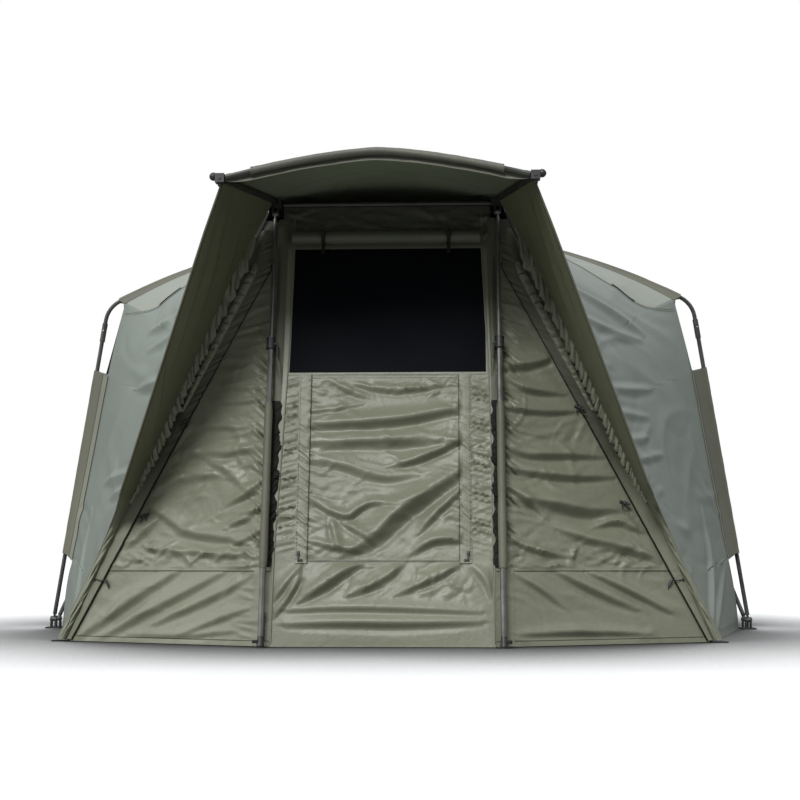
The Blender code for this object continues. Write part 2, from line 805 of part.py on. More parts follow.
def door_panel():
    """Zipped door, hinged along its bottom seam, with its hanging folds."""
    bottom = DOOR_BOTTOM + DOOR_HINGE_GAP
    top = DOOR_TOP - DOOR_SIDE_GAP
    half = DOOR_HALF - DOOR_SIDE_GAP
    rows = []
    for i in range(DOOR_ROWS + 1):
        v = i / DOOR_ROWS
        row = []
        for j in range(DOOR_COLUMNS + 1):
            u = j / DOOR_COLUMNS
            place = panel_point(half * (2 * u - 1), bottom + (top - bottom) * v)
            row.append(place - Vector((0, fold_relief(u, v, DOOR_FOLDS, DOOR_FOLD), 0)))
        rows.append(row)
    return paint(sheet("door_panel", rows), OLIVE, 0.9)


def window_mesh():
    reach = WINDOW_HALF - DOOR_SIDE_GAP
    zs = [WINDOW_BOTTOM + DOOR_SIDE_GAP, WINDOW_TOP - DOOR_SIDE_GAP]
    rows = [[panel_point(x, z) for x in (-reach, reach)] for z in zs]
    return paint(sheet("window_mesh", rows, MESH_SHEET), BLACK, 0.7)


def panel_normal():
    """Unit vector that points forward out of the front panel."""
    return Vector((0, -1, -POLE_SLOPE)).normalized()


def roll_centre(x):
    height = WINDOW_TOP + ROLL_R
    return panel_point(x, height) + panel_normal() * (SHEET / 2 + CLEAR + ROLL_R)


def window_cover_roll():
    """Window cover, rolled up over the window."""
    steps = 2 * ROOF_STEPS
    points = [roll_centre(ROLL_HALF * (2 * i / steps - 1)) for i in range(steps + 1)]
    return paint(tube("window_cover_roll", points, ROLL_R), OLIVE, 0.9)


def toggle_centre(side):
    return roll_centre(SIDES[side] * TOGGLE_X) + panel_normal() * (ROLL_R + CLEAR + TOGGLE_R)


def toggle(side):
    """Toggle that holds the rolled cover, able to turn out of its loop."""
    centre = toggle_centre(side)
    half = Vector((0, -POLE_SLOPE, 1)).normalized() * (TOGGLE_LENGTH / 2)
    return paint(rod("toggle_" + side, centre - half, centre + half, TOGGLE_R), BLACK, 0.5)


def front_panel_side(side):
    """Front panel between a pole and the zip line, with the folds of its skirt."""
    top = HUB_PIN.z - 2 * EYE_R
    rows = []
    for i in range(SKIRT_ROWS + 1):
        share = i / SKIRT_ROWS
        height = top + (HEM_LIFT - top) * share
        inner = panel_point(SEAM_HALF + 2 * CLEAR, height)
        zip_share = (height - ZIP_TOP.z) / (ZIP_FOOT.z - ZIP_TOP.z)
        outer = beside_zip(min(zip_share, 1), inner)
        row = []
        for j in range(SKIRT_COLUMNS + 1):
            u = j / SKIRT_COLUMNS
            relief = fold_relief(u, share, SKIRT_FOLDS, SKIRT_FOLD) * share
            row.append(inner.lerp(outer, u) + Vector((0, relief, 0)))
        rows.append(mirrored(row, SIDES[side]))
    return paint(sheet("front_panel_" + side, rows), OLIVE, 0.9)


def front_zip(side):
    """Zip chain along the seam where wing, side skin and front panel meet."""
    points = mirrored([ZIP_TOP, ZIP_FOOT], SIDES[side])
    return paint(tube("front_zip_" + side, points, ZIP_R), BLACK, 0.6)


def zip_slider_place(share):
    """Centre of a zip slider, in the corner between the wing and the front panel."""
    axis = (ZIP_FOOT - ZIP_TOP).normalized()
    place = zip_point(share)
    to_wing = (wing_edge(share) - place).normalized()
    to_panel = (panel_point(SEAM_HALF, place.z) - place).normalized()
    outward = to_wing + to_panel
    outward = (outward - axis * outward.dot(axis)).normalized()
    return place + outward * (ZIP_R + CLEAR + SLIDER_R)


def zip_slider(side):
    axis = (ZIP_FOOT - ZIP_TOP).normalized()
    centre = zip_slider_place(SLIDER_PLACE_SHARE)
    ends = mirrored([centre - axis * SLIDER_LENGTH / 2, centre + axis * SLIDER_LENGTH / 2], SIDES[side])
    return paint(rod("zip_slider_" + side, ends[0], ends[1], SLIDER_R), METAL, 0.4, 0.8)


def door_slider_centre(side):
    x = SIDES[side] * (DOOR_HALF + DOOR_SIDE_GAP + DOOR_SLIDER_WIDTH / 2)
    height = DOOR_BOTTOM + DOOR_SLIDER_LENGTH
    return panel_point(x, height) + panel_normal() * (SHEET / 2 + CLEAR + DOOR_SLIDER_THICK / 2)


def door_slider(side):
    """Slider beside the door, flat on the panel."""
    size = (DOOR_SLIDER_WIDTH, DOOR_SLIDER_THICK, DOOR_SLIDER_LENGTH)
    body = box("door_slider_" + side, size, Vector((0, 0, 0)))
    tilt = Matrix.Rotation(math.atan(POLE_SLOPE), 4, "X")
    body.data.transform(Matrix.Translation(door_slider_centre(side)) @ tilt)
    return paint(body, METAL, 0.4, 0.8)


# Hood and skins

def roof_row(share):
    """One row of the hood's roof, from the brow at 0 over the hubs to the main rib at 1."""
    slope = (HUB_HEIGHT - BROW_HEIGHT) / (BROW_FORWARD + hub_front())
    lift = (TUBE_R + SHEET / 2 + CLEAR) * math.hypot(1, slope)
    brow_back = SLEEVE_R + CLEAR
    hub_share = hub_row_share()
    bar_x = HUB_HALF + BAR_SPREAD
    row = []
    for j in range(ROOF_COLUMNS + 1):
        u = 2 * j / ROOF_COLUMNS - 1
        brow_x = (BROW_HALF - CORNER_BLOCK / 2 - CLEAR) * u
        front_z = brow_height(brow_x) + lift + slope * brow_back
        front = Vector((brow_x, -BROW_FORWARD + brow_back, front_z))
        crown = ROOF_CROWN * (1 - u * u)
        middle = Vector((HUB_HALF * u, hub_front(), HUB_HEIGHT + lift + ROOF_LIFT + crown))
        rib_x = bar_x * u
        back = Vector((rib_x, -SLEEVE_R - CLEAR, main_roof_height(rib_x)))
        if share < hub_share:
            row.append(front.lerp(middle, share / hub_share))
        else:
            row.append(middle.lerp(back, (share - hub_share) / (1 - hub_share)))
    return row


def hub_row_share():
    """Share of the way from the brow to the main rib at which the roof passes the hubs' front."""
    return (BROW_FORWARD + hub_front()) / BROW_FORWARD


def hood_roof():
    hub_share = hub_row_share()
    shares = [hub_share * i / FRONT_ROWS for i in range(FRONT_ROWS)]
    shares += [hub_share + (1 - hub_share) * i / BACK_ROWS for i in range(BACK_ROWS + 1)]
    return paint(sheet("hood_roof", [roof_row(share) for share in shares]), OLIVE, 0.9)


def hood_wing(side):
    """Wing of the hood: hangs from the arm, runs down the zip line to the ground."""
    arm_back, arm_front = arm_ends()
    rows = []
    for i in range(WING_ROWS + 1):
        share = i / WING_ROWS
        end = wing_edge(share)
        start = beside_zip(share, end)
        if i == 0:
            arm = [arm_back, arm_front]
            start = beside(arm, WING_BEFORE_HUB, zip_point(1 / WING_ROWS), TUBE_R + CLEAR)
            end = beside(arm, path_length(arm) - OVERRUN, wing_edge(1 / WING_ROWS), TUBE_R + CLEAR)
        bow = math.sin(math.pi * share) * WING_BOW
        row = []
        for j in range(WING_COLUMNS + 1):
            u = j / WING_COLUMNS
            row.append(start.lerp(end, u) + Vector((-bow * math.sin(math.pi * u), 0, 0)))
        rows.append(mirrored(row, SIDES[side]))
    return paint(sheet("hood_wing_" + side, rows), DARK_OLIVE, 0.9)


def skin_back(length):
    """Point where a skin meets the main rib's sleeve, cutting across the open stretches of pole."""
    if length < SIDE_SLEEVE_START:
        low = Vector((FOOT_HALF - SKIN_INSIDE_FOOT, 0, HEM_LIFT))
        return low.lerp(along(MAIN_PATH, SIDE_SLEEVE_START), length / SIDE_SLEEVE_START)
    if SIDE_SLEEVE_END < length < TOP_SLEEVE_START:
        share = (length - SIDE_SLEEVE_END) / (TOP_SLEEVE_START - SIDE_SLEEVE_END)
        return along(MAIN_PATH, SIDE_SLEEVE_END).lerp(along(MAIN_PATH, TOP_SLEEVE_START), share)
    return along(MAIN_PATH, length)


def skin_edge(length, target):
    """Edge of a skin beside the main rib's sleeves, on the side of a target."""
    on_side = SIDE_SLEEVE_START <= length <= SIDE_SLEEVE_END
    if on_side or length >= TOP_SLEEVE_START:
        return beside(MAIN_PATH, min(length, MAIN_LENGTH - 2 * OVERRUN), target, SLEEVE_R + CLEAR)
    point = skin_back(length)
    return point + (target - point).normalized() * (SLEEVE_R + CLEAR)


def skin_stations(rows, top):
    """Lengths along the main rib for the rows of a skin, foot first, with a row at each sleeve end."""
    marks = [0, SIDE_SLEEVE_START, SIDE_SLEEVE_END, TOP_SLEEVE_START, top]
    lengths = []
    for a, b in zip(marks, marks[1:]):
        count = max(2, round(rows * (b - a) / top))
        lengths += [a + (b - a) * i / count for i in range(count)]
    return lengths + [top]


def side_skin(side):
    """Side of the tent between the zip line and the main rib."""
    bar_start, bar_end = bar_ends()
    top = MAIN_LENGTH - MAIN_ROOF_R * math.asin((HUB_HALF + BAR_SPREAD) / MAIN_ROOF_R)
    lengths = skin_stations(SKIN_ROWS, top)
    rows = []
    for length in lengths:
        share = 1 - length / top
        back = skin_back(length)
        front = zip_point(share)
        if length == 0:
            front.z = HEM_LIFT
        if length == top:
            bar = [bar_start, bar_end]
            down = along(MAIN_PATH, top - SIDE_SLEEVE_START) - along(MAIN_PATH, top)
            front = beside(bar, SKIN_BEHIND_HUB, bar_start + down, TUBE_R + CLEAR)
            back = beside(bar, path_length(bar) - SLEEVE_R - SHEET, bar_end + down, TUBE_R + CLEAR)
        else:
            front, back = beside_zip(share, back), skin_edge(length, front)
        row = []
        for j in range(SKIN_COLUMNS + 1):
            u = j / SKIN_COLUMNS
            sag = SKIN_SAG * math.sin(math.pi * u) * math.sin(math.pi * length / top)
            row.append(back.lerp(front, u) + Vector((-sag, 0, 0)))
        rows.append(mirrored(row, SIDES[side]))
    return paint(sheet("side_skin_" + side, rows), SKIN_GREEN, 0.8)


def rear_hem(share):
    """Ground line of the rear wall: 0 at a hinge block, 1 at the middle of the back."""
    angle = math.pi / 2 * share
    x = REAR_HEM_HALF * max(math.cos(angle), 0) ** HEM_SQUARENESS_SHARE
    start_y = along(REAR_PATH, REAR_LENGTH * SKIN_START_SHARE).y
    y = start_y + (REAR_HEM_BEHIND - start_y) * math.sin(angle) ** HEM_SQUARENESS_SHARE
    return Vector((x, y, HEM_LIFT))


def rear_roof():
    """Skin between the two ribs, the one that slackens when the tent folds."""
    halves = []
    for i in range(SKIN_ROWS + 1):
        share = SKIN_START_SHARE + (1 - SKIN_START_SHARE) * i / SKIN_ROWS
        front = skin_edge(MAIN_LENGTH * share, along(REAR_PATH, REAR_LENGTH * share))
        inner = min(REAR_LENGTH * share, REAR_LENGTH - 2 * OVERRUN)
        back = beside(REAR_PATH, inner, front, FERRULE_R + CLEAR)
        if i == SKIN_ROWS:
            front.x = back.x = 0
        row = []
        for j in range(SKIN_COLUMNS + 1):
            u = j / SKIN_COLUMNS
            sag = REAR_SAG * math.sin(math.pi * u) * share
            centre = front.lerp(back, u)
            row.append(centre * (1 - sag) + Vector((0, sag * centre.y, 0)))
        halves.append(row)
    rows = halves + [mirrored(row, -1) for row in halves[-2::-1]]
    return paint(sheet("rear_roof", rows), SKIN_GREEN, 0.8)


def rear_wall():
    """Back of the tent, from the rear rib down to the ground."""
    halves = []
    start = REAR_LENGTH * SKIN_START_SHARE
    ferrule_start = REAR_BEND_START - FERRULE_LENGTH
    straight = ferrule_start - FERRULE_LENGTH / 2 - start
    lengths = [start + straight * i / SIDE_ROWS for i in range(SIDE_ROWS + 1)]
    lengths += [ferrule_start] + corner_lengths(REAR_PATH, REAR_BEND_START)
    for length in lengths:
        low = rear_hem((length - start) / (REAR_LENGTH - start))
        on_ferrule = ferrule_start <= length <= REAR_BEND_START
        top = beside(REAR_PATH, length, low, (FERRULE_R if on_ferrule else TUBE_R) + CLEAR)
        halves.append([top.lerp(low, j / WING_COLUMNS) for j in range(WING_COLUMNS + 1)])
    rows = halves + [mirrored(row, -1) for row in halves[-2::-1]]
    return paint(sheet("rear_wall", rows), SKIN_GREEN, 0.8)


def peg_loop(name, root, direction):
    """Webbing loop that a ground peg goes through."""
    direction = direction.normalized()
    side = Vector((-direction.y, direction.x, 0))
    centre = root + direction * (LOOP_LENGTH / 2 + LOOP_R + CLEAR)
    points = []
    for i in range(2 * LOOP_STEPS):
        angle = math.pi * i / LOOP_STEPS
        forward = direction * (LOOP_LENGTH / 2 * math.cos(angle))
        points.append(centre + forward + side * (LOOP_HALF_WIDTH * math.sin(angle)))
    for point in points:
        point.z = LOOP_R
    return paint(tube(name, points, LOOP_R, closed=True, capped=False), BLACK, 0.8)


def build():
    frame_fold = pivot("frame_fold", Vector((0, 0, HINGE_HEIGHT)))
    door_place = panel_point(0, DOOR_BOTTOM + DOOR_HINGE_GAP)
    door_fold = pivot("door_fold", door_place, frame_fold)
    still = [rear_rib_top(), rear_roof(), rear_wall()]
    moving = [
        main_rib_top(), main_sleeve_top(), cross_bar(), brow_bar(), brow_sleeve(), hood_roof(),
        front_panel_center(), window_mesh(), window_cover_roll()]
    for side, sign in SIDES.items():
        still += [hinge_block(side), rear_rib_side(side)]
        hem = rear_hem(REAR_LOOP_SHARE)
        root = Vector((sign * hem.x, hem.y, 0))
        still.append(peg_loop("rear_peg_loop_" + side, root + root.normalized() * CLEAR, root))
        moving += [
            main_rib_side(side), main_rib_shoulder(side), main_sleeve_side(side), hub(side),
            brow_arm(side), tension_bar(side), brow_corner(side), front_panel_side(side),
            front_zip(side), hood_wing(side), side_skin(side)]
        outward = Vector((sign * CORNER_HALF, -CORNER_FORWARD / 2, 0)).normalized()
        loop_root = Vector((sign * ZIP_FOOT.x, ZIP_FOOT.y, 0)) - outward * CLEAR
        moving.append(peg_loop("front_peg_loop_" + side, loop_root, outward))
        swing = pivot("pole_swing_" + side, Vector((sign * HUB_PIN.x, HUB_PIN.y, HUB_PIN.z)), frame_fold)
        split = pole_point(POLE_SPLIT_HEIGHT)
        extend = pivot("pole_slide_" + side, Vector((sign * split.x, split.y, split.z)), swing)
        lever = pivot("lever_turn_" + side, lever_pin(side), extend)
        ride(pole_upper(side), swing)
        for piece in (pole_lower(side), pole_foot(side), pole_clamp(side)):
            ride(piece, extend)
        ride(clamp_lever(side), lever)
        place = zip_slider_place(SLIDER_PLACE_SHARE)
        zip_run = pivot("zip_run_" + side, Vector((sign * place.x, place.y, place.z)), frame_fold)
        ride(zip_slider(side), zip_run)
        ride(door_slider(side), pivot("door_zip_run_" + side, door_slider_centre(side), frame_fold))
        ride(toggle(side), pivot("toggle_turn_" + side, toggle_centre(side), frame_fold))
    ride(door_panel(), door_fold)
    for piece in still:
        ride(piece, ROOT)
    for piece in moving:
        ride(piece, frame_fold)


def centre_on_origin():
    """Move the parent empty so that the whole stands on its middle."""
    bpy.context.view_layer.update()
    graph = bpy.context.evaluated_depsgraph_get()
    depths = []
    for obj in PARTS.objects:
        if obj.type == "MESH":
            shape = obj.evaluated_get(graph)
            depths += [(shape.matrix_world @ Vector(corner)).y for corner in shape.bound_box]
    ROOT.location.y = -(min(depths) + max(depths)) / 2
    bpy.context.view_layer.update()


build()
centre_on_origin()
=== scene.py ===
import math

import bmesh
import bpy
import numpy as np
from mathutils import Matrix, Vector


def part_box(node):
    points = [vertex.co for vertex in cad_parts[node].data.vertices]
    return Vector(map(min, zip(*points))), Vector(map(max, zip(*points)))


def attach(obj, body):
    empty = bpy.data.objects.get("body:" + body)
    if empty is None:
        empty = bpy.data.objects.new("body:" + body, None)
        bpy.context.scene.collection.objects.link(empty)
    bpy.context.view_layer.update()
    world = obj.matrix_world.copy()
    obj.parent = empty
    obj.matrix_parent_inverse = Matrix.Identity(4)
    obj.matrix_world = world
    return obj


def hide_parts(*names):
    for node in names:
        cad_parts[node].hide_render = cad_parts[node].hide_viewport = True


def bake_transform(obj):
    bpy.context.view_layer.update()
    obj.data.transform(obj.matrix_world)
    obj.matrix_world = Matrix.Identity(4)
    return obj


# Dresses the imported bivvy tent: cloth, zips, trim, small fittings, materials, light and camera.
# Metres. Points are laid out from the plane of the main rib, as in the part's source,
# with the tent's right-hand side (+X) drawn first and mirrored, and Shape.piece moves
# them onto the frame.

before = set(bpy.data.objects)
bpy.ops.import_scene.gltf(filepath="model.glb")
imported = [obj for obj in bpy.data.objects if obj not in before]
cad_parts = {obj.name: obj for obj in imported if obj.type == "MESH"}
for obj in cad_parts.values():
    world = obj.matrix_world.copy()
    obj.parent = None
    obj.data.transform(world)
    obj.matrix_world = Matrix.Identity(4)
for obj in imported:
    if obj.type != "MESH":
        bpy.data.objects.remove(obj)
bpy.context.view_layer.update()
RIB_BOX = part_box("main_rib_top")
RIB_Y = (RIB_BOX[0].y + RIB_BOX[1].y) / 2

# Stock
CLEAR = 0.0003
CLOTH = 0.0008
WEBBING = 0.0012
TUBE_R = 0.008
SLEEVE_R = 0.0115

# Ribs
HINGE_HEIGHT = 0.036
FOOT_HALF = 1.315
PIN_SPACING = 0.056
MAIN_RISE = 1.495
MAIN_LEAN = math.radians(8.4)
MAIN_ROOF_R = 2.38
MAIN_BEND_R = 0.10
REAR_RISE = 1.25
REAR_LEAN = math.radians(9.0)
REAR_ROOF_R = 2.2
REAR_BEND_R = 0.12
REAR_TILT = math.radians(42.0)
REAR_HEM_BEHIND = 0.99
REAR_HEM_HALF = 1.17
HEM_SQUARENESS_SHARE = 0.6
SIDE_SLEEVE_START = 0.25
SIDE_SLEEVE_END = 0.965
TOP_SLEEVE_AFTER_BEND = 0.002
SKIN_INSIDE_FOOT = 0.035
SKIN_START_SHARE = 0.12

# Hubs, brow and poles
HUB_HALF = 0.357
HUB_FORWARD = 0.941
HUB_HEIGHT = 1.403
HUB_PIN_DROP = 0.038
BAR_SPREAD = 0.14
BROW_HALF = 0.445
BROW_FORWARD = 1.483
BROW_HEIGHT = 1.328
BROW_RISE = 0.076
BROW_POWER_SHARE = 1.5
BROW_SLEEVE_HALF = 0.355
CORNER_BLOCK = 0.026
ROOF_CROWN = 0.05
POLE_FOOT_FORWARD = 1.184

# Front
SIGNS = {"left": -1, "right": 1}
PANEL_BACK = 0.030
SEAM_HALF = 0.334
DOOR_HALF = 0.250
DOOR_BOTTOM = 0.256
DOOR_TOP = 0.828
WINDOW_HALF = 0.315
WINDOW_BOTTOM = 0.834
WINDOW_TOP = 1.255
FLAP_WIDTH = 0.038
FLAP_MIDDLE = 0.247
SKIRT_SEAM = 0.228
ROLL_R = 0.024
ROLL_HALF = 0.300
TOGGLE_X = 0.200
ZIP_R = 0.005
ZIP_TOP = np.array((0.391, -0.941, 1.373))
ZIP_FOOT = np.array((1.020, -0.857, 0.005))

# Wings
WING_STATIONS = (
    (0, (0.455, -1.463, 1.298)),
    (0.655, (0.800, -1.080, 0.484)),
    (0.70, (0.842, -0.990, 0.415)),
    (0.82, (0.922, -0.935, 0.245)),
    (1, (1.043, -0.905, 0.007)),
)
WING_END_SHARE = 0.675
WING_FIRST_SHARE = 1 / 12
WING_BOW = 0.012
SKIN_SAG = 0.035
COVER_FOOT = 1.006
COVER_SLOPE_SHARE = 0.5405
REAR_SAG = 0.03
REAR_TUBE_GAP = 0.0108 + CLEAR
REAR_SEAM_ROWS = 85
BARE_RIB_MARKS = (
    (0, 0.030),
    (SIDE_SLEEVE_START - 0.01, 0.165),
    (SIDE_SLEEVE_START + 0.03, 0),
    (SIDE_SLEEVE_END - 0.03, 0),
    (SIDE_SLEEVE_END + 0.01, 0.130),
)
HEM = 0.0015
GRID = 0.0048

# Trim
SEAM_LIFT = 0.0014
PIPING_R = 0.0021
PIPING_LOW = 0.012
PIPING_HIGH = 1.36
DOOR_GAP = 0.0008
STITCH_PITCH = 0.010
STITCH_LENGTH = 0.006
PATCH_X = 0.372
LADDER_X = 0.3585
LADDER_PITCH = 0.012
LADDER_STEPS = 7
CHAIN_PITCH = 0.006
CHAIN_R = 0.0030
TOOTH = (0.0078, 0.0030, 0.0026)
TAPE_EDGES = (-0.001, 0.006, 0.015)

# Cloth beside and round the poles
MARGIN_LOW = 0.744
MARGIN_HIGH = 1.352
MARGIN_OUTER = 0.3485
RECESS_LOW = 0.235
RECESS_HIGH = 0.748
RECESS_OUTER = 0.351
POLE_SLEEVE_LOW = 0.232
POLE_SLEEVE_HIGH = 0.738
POLE_SLEEVE_R = 0.0122
CLAMP_RIM_HEIGHTS = (0.9455, 0.9145)
MARGIN_FOLDS = (
    (((0.345, 0.90), (0.332, 0.865), (0.322, 0.80)), 0.006, 0.006),
    (((0.340, 1.22), (0.333, 1.10), (0.336, 0.98)), 0.006, 0.005),
)

# Ruffles
RUFFLE_START_SHARE = 0.065
RUFFLE_END_SHARE = 0.685
RUFFLE_BASE = 0.010
COVER_RUFFLE_LOW = 0.72
COVER_RUFFLE_HIGH = 1.20
COVER_RUFFLE_RISE = 0.017

# Camera
LENS_MM = 61.38
SENSOR_MM = 36
CAMERA_PLACE = (0.2065, -5.2217, 0.2488)
CAMERA_TILT = 0.1186
CAMERA_TURN = 0.0379
FLOOR_REACH = 40.0


# Lines and surfaces

def unit(v):
    """Vectors of length 1."""
    return v / np.maximum(np.linalg.norm(v, axis=-1, keepdims=True), 1e-9)


def mix(a, b, share):
    """Points on the way from one to another."""
    return a + (b - a) * np.asarray(share)[..., None]


def ramp(x, width):
    """Share that rises from 0 to 1 as x runs from 0 to a width."""
    return np.clip(x / width, 0, 1)


def middle_of(name):
    """Middle of a node's box, from the plane of the main rib."""
    low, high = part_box(name)
    return np.array((low + high) / 2) - (0, RIB_Y, 0)


def mirrored(half):
    """Rows of a whole panel, from those of one half."""
    return np.concatenate((half, (half * (-1, 1, 1))[-2::-1]))


def lumps(seed, count, width):
    """Smoothed random unevenness at a number of places."""
    draw = np.random.default_rng(seed)
    return np.convolve(draw.normal(0, 1, count + width - 1), np.ones(width) / width, "valid")


def marks_of(path):
    """Lengths along a path at its points."""
    steps = np.linalg.norm(np.diff(path, axis=0), axis=1)
    return np.concatenate(([0.0], np.cumsum(steps)))


def at(path, length):
    """Points of a path at lengths from its start."""
    marks = marks_of(path)
    return np.stack([np.interp(length, marks, path[:, k]) for k in range(path.shape[1])], axis=-1)


def resample(path, step):
    """Path with points at even steps."""
    path = np.asarray(path, float)
    total = marks_of(path)[-1]
    return at(path, np.linspace(0, total, max(2, math.ceil(total / step) + 1)))


def rounded(points):
    """Polyline with its corners cut twice."""
    points = np.asarray(points, float)
    for _ in range(2):
        first = points[:-1] * 0.75 + points[1:] * 0.25
        second = points[:-1] * 0.25 + points[1:] * 0.75
        middle = np.stack((first, second), axis=1).reshape(-1, points.shape[1])
        points = np.concatenate((points[:1], middle, points[-1:]))
    return points


def rib_path(rise, lean, roof_r, bend_r, tilt, pin_y):
    """Half of a rib from its pin to its peak, and the lengths where its bend starts and ends."""
    foot = np.array((FOOT_HALF, 0))
    up = np.array((-math.sin(lean), math.cos(lean)))
    inward = np.array((-math.cos(lean), -math.sin(lean)))
    roof_centre = np.array((0, rise - roof_r))
    offset = foot + inward * bend_r - roof_centre
    dot = offset @ up
    side = -dot + math.sqrt(dot * dot - offset @ offset + (roof_r - bend_r) ** 2)
    bend_centre = foot + inward * bend_r + up * side
    reach = bend_centre - roof_centre
    turn_end = math.atan2(reach[1], reach[0])
    bend = np.linspace(lean, turn_end, 13)
    roof = np.linspace(turn_end, math.pi / 2, 41)[1:]
    arcs = [bend_centre + bend_r * np.array((math.cos(a), math.sin(a))) for a in bend]
    arcs += [roof_centre + roof_r * np.array((math.cos(a), math.sin(a))) for a in roof]
    flat = np.array([foot] + arcs)
    path = np.stack((
        flat[:, 0], pin_y + flat[:, 1] * math.sin(tilt), HINGE_HEIGHT + flat[:, 1] * math.cos(tilt)), axis=1)
    return path, side, side + bend_r * (turn_end - lean)


MAIN_PATH, MAIN_BEND_START, MAIN_BEND_END = rib_path(MAIN_RISE, MAIN_LEAN, MAIN_ROOF_R, MAIN_BEND_R, 0, 0)
REAR_PATH = rib_path(REAR_RISE, REAR_LEAN, REAR_ROOF_R, REAR_BEND_R, REAR_TILT, PIN_SPACING)[0]
MAIN_LENGTH = marks_of(MAIN_PATH)[-1]
REAR_LENGTH = marks_of(REAR_PATH)[-1]
TOP_SLEEVE_START = MAIN_BEND_END + TOP_SLEEVE_AFTER_BEND
SKIN_TOP = MAIN_LENGTH - MAIN_ROOF_R * math.asin((HUB_HALF + BAR_SPREAD) / MAIN_ROOF_R)
HUB_PIN = np.array((HUB_HALF, -HUB_FORWARD, HUB_HEIGHT - HUB_PIN_DROP))
POLE_FOOT = np.array((HUB_HALF, -POLE_FOOT_FORWARD, 0))
POLE_AXIS = unit(POLE_FOOT - HUB_PIN)
POLE_SLOPE = (POLE_FOOT[1] - HUB_PIN[1]) / HUB_PIN[2]
PANEL_FORWARD = np.array((0, -1, -POLE_SLOPE)) / math.hypot(1, POLE_SLOPE)
PANEL_UP = np.array((0, -POLE_SLOPE, 1)) / math.hypot(1, POLE_SLOPE)


def pole_point(height):
    """Point on the axis of the right pole at a height."""
    return HUB_PIN + POLE_AXIS * ((height - HUB_PIN[2]) / POLE_AXIS[2])


def panel_y(z):
    """Place of the front's plane at a height."""
    return POLE_FOOT[1] + PANEL_BACK - POLE_SLOPE * z


def brow_height(x):
    """Height of the brow bar's axis at a distance from the middle."""
    return BROW_HEIGHT + BROW_RISE * (1 - np.abs(x / BROW_HALF) ** BROW_POWER_SHARE)


def zip_point(share):
    """Point on the zip line, from its top to its foot."""
    return mix(ZIP_TOP, ZIP_FOOT, share)


def wing_edge(share):
    """Point on the wing's free edge, from its top to the ground."""
    shares = [s for s, _ in WING_STATIONS]
    places = np.array([p for _, p in WING_STATIONS])
    return np.stack([np.interp(share, shares, places[:, k]) for k in range(3)], axis=-1)


def normals(grid):
    """Unit vectors square to a grid of points."""
    return unit(np.cross(np.gradient(grid, axis=1), np.gradient(grid, axis=0)))


def lifted(grid, height):
    return grid + normals(grid) * np.asarray(height)[..., None]


# Folds and crinkles

def crest(x):
    """Profile of a small fold: a narrow ridge with a shallow trough on each side."""
    return np.exp(-np.abs(x) ** 1.5) - 0.22 * np.exp(-((np.abs(x) - 2.1) ** 2))


def slump(x):
    """Profile of a hanging fold: a long slope above its ridge, a steep face and a trough below it."""
    x = x - 0.5
    ridge = np.where(x > 0, np.exp(-np.abs(x / 2.0) ** 1.7), np.exp(-np.abs(x / 0.95) ** 1.8))
    return ridge - 0.35 * np.exp(-((x + 1.9) / 0.9) ** 2)


def fold(s, t, points, width, rise, profile):
    """Height of one fold drawn along a line, which fades at its ends."""
    points = rounded(points)
    marks = marks_of(points)
    upward = 1 if points[-1][0] >= points[0][0] else -1
    gap = np.full(np.shape(s), 1.0)
    run = np.zeros(np.shape(s))
    above = np.ones(np.shape(s))
    for i, (a, b) in enumerate(zip(points, points[1:])):
        d = b - a
        share = ramp((s - a[0]) * d[0] + (t - a[1]) * d[1], d @ d)
        here = np.hypot(s - a[0] - share * d[0], t - a[1] - share * d[1])
        nearer = here < gap
        gap = np.where(nearer, here, gap)
        run = np.where(nearer, (marks[i] + share * np.linalg.norm(d)) / marks[-1], run)
        left = np.where(d[0] * (t - a[1]) - d[1] * (s - a[0]) >= 0, upward, -upward)
        above = np.where(nearer, left, above)
    fade = np.sin(math.pi * (0.06 + 0.88 * run)) ** 0.8
    return rise * fade * profile(above * gap / (width * (0.55 + 0.45 * fade)))


def drawn(s, t, lines, profile=slump):
    """Height of folds drawn one by one."""
    return sum(fold(s, t, points, width, rise, profile) for points, width, rise in lines)


def crinkles(s, t, seed, count, area, length, width, rise, heading=0.0, spread=0.3, even=False):
    """Height of small folds scattered over an area, given as (s0, s1, t0, t1)."""
    draw = np.random.default_rng(seed)
    height = np.zeros(np.shape(s))
    for i in range(count):
        cs = draw.uniform(area[0], area[1])
        ct = draw.uniform(area[2], area[3])
        if even:
            ct = area[2] + (area[3] - area[2]) * (i + draw.uniform(0.2, 0.8)) / count
        angle = heading + draw.normal(0, spread)
        half = length * draw.uniform(0.5, 1.4)
        wide = width * draw.uniform(0.6, 1.5)
        tall = rise * draw.uniform(0.3, 1.0) * draw.choice((-0.6, 1.0))
        bend = draw.normal(0, 0.25) / half
        along = (s - cs) * math.cos(angle) + (t - ct) * math.sin(angle)
        across = (t - ct) * math.cos(angle) - (s - cs) * math.sin(angle) + bend * along ** 2
        height += tall * crest(across / wide) * np.exp(-(along / half) ** 2)
    return height


def gathers(run, across, seed, pitch, rise, slant=0.0):
    """Height of uneven gathers that follow one another along a seam."""
    turn = 2 * math.pi * (run + slant * across) / pitch
    turn = turn + 1.5 * np.sin(0.31 * turn + seed) + 0.9 * np.sin(0.83 * turn + 2.1 * seed + 40 * across)
    size = 0.62 + 0.38 * np.sin(0.23 * turn + 1.7 * seed)
    return rise * size * (np.abs(0.5 + 0.5 * np.sin(turn)) ** 1.4 - 0.4)


def pinch(x, place, width):
    """0 at a seam, 1 away from it."""
    return 1 - np.exp(-((x - place) / width) ** 2)


# Meshes

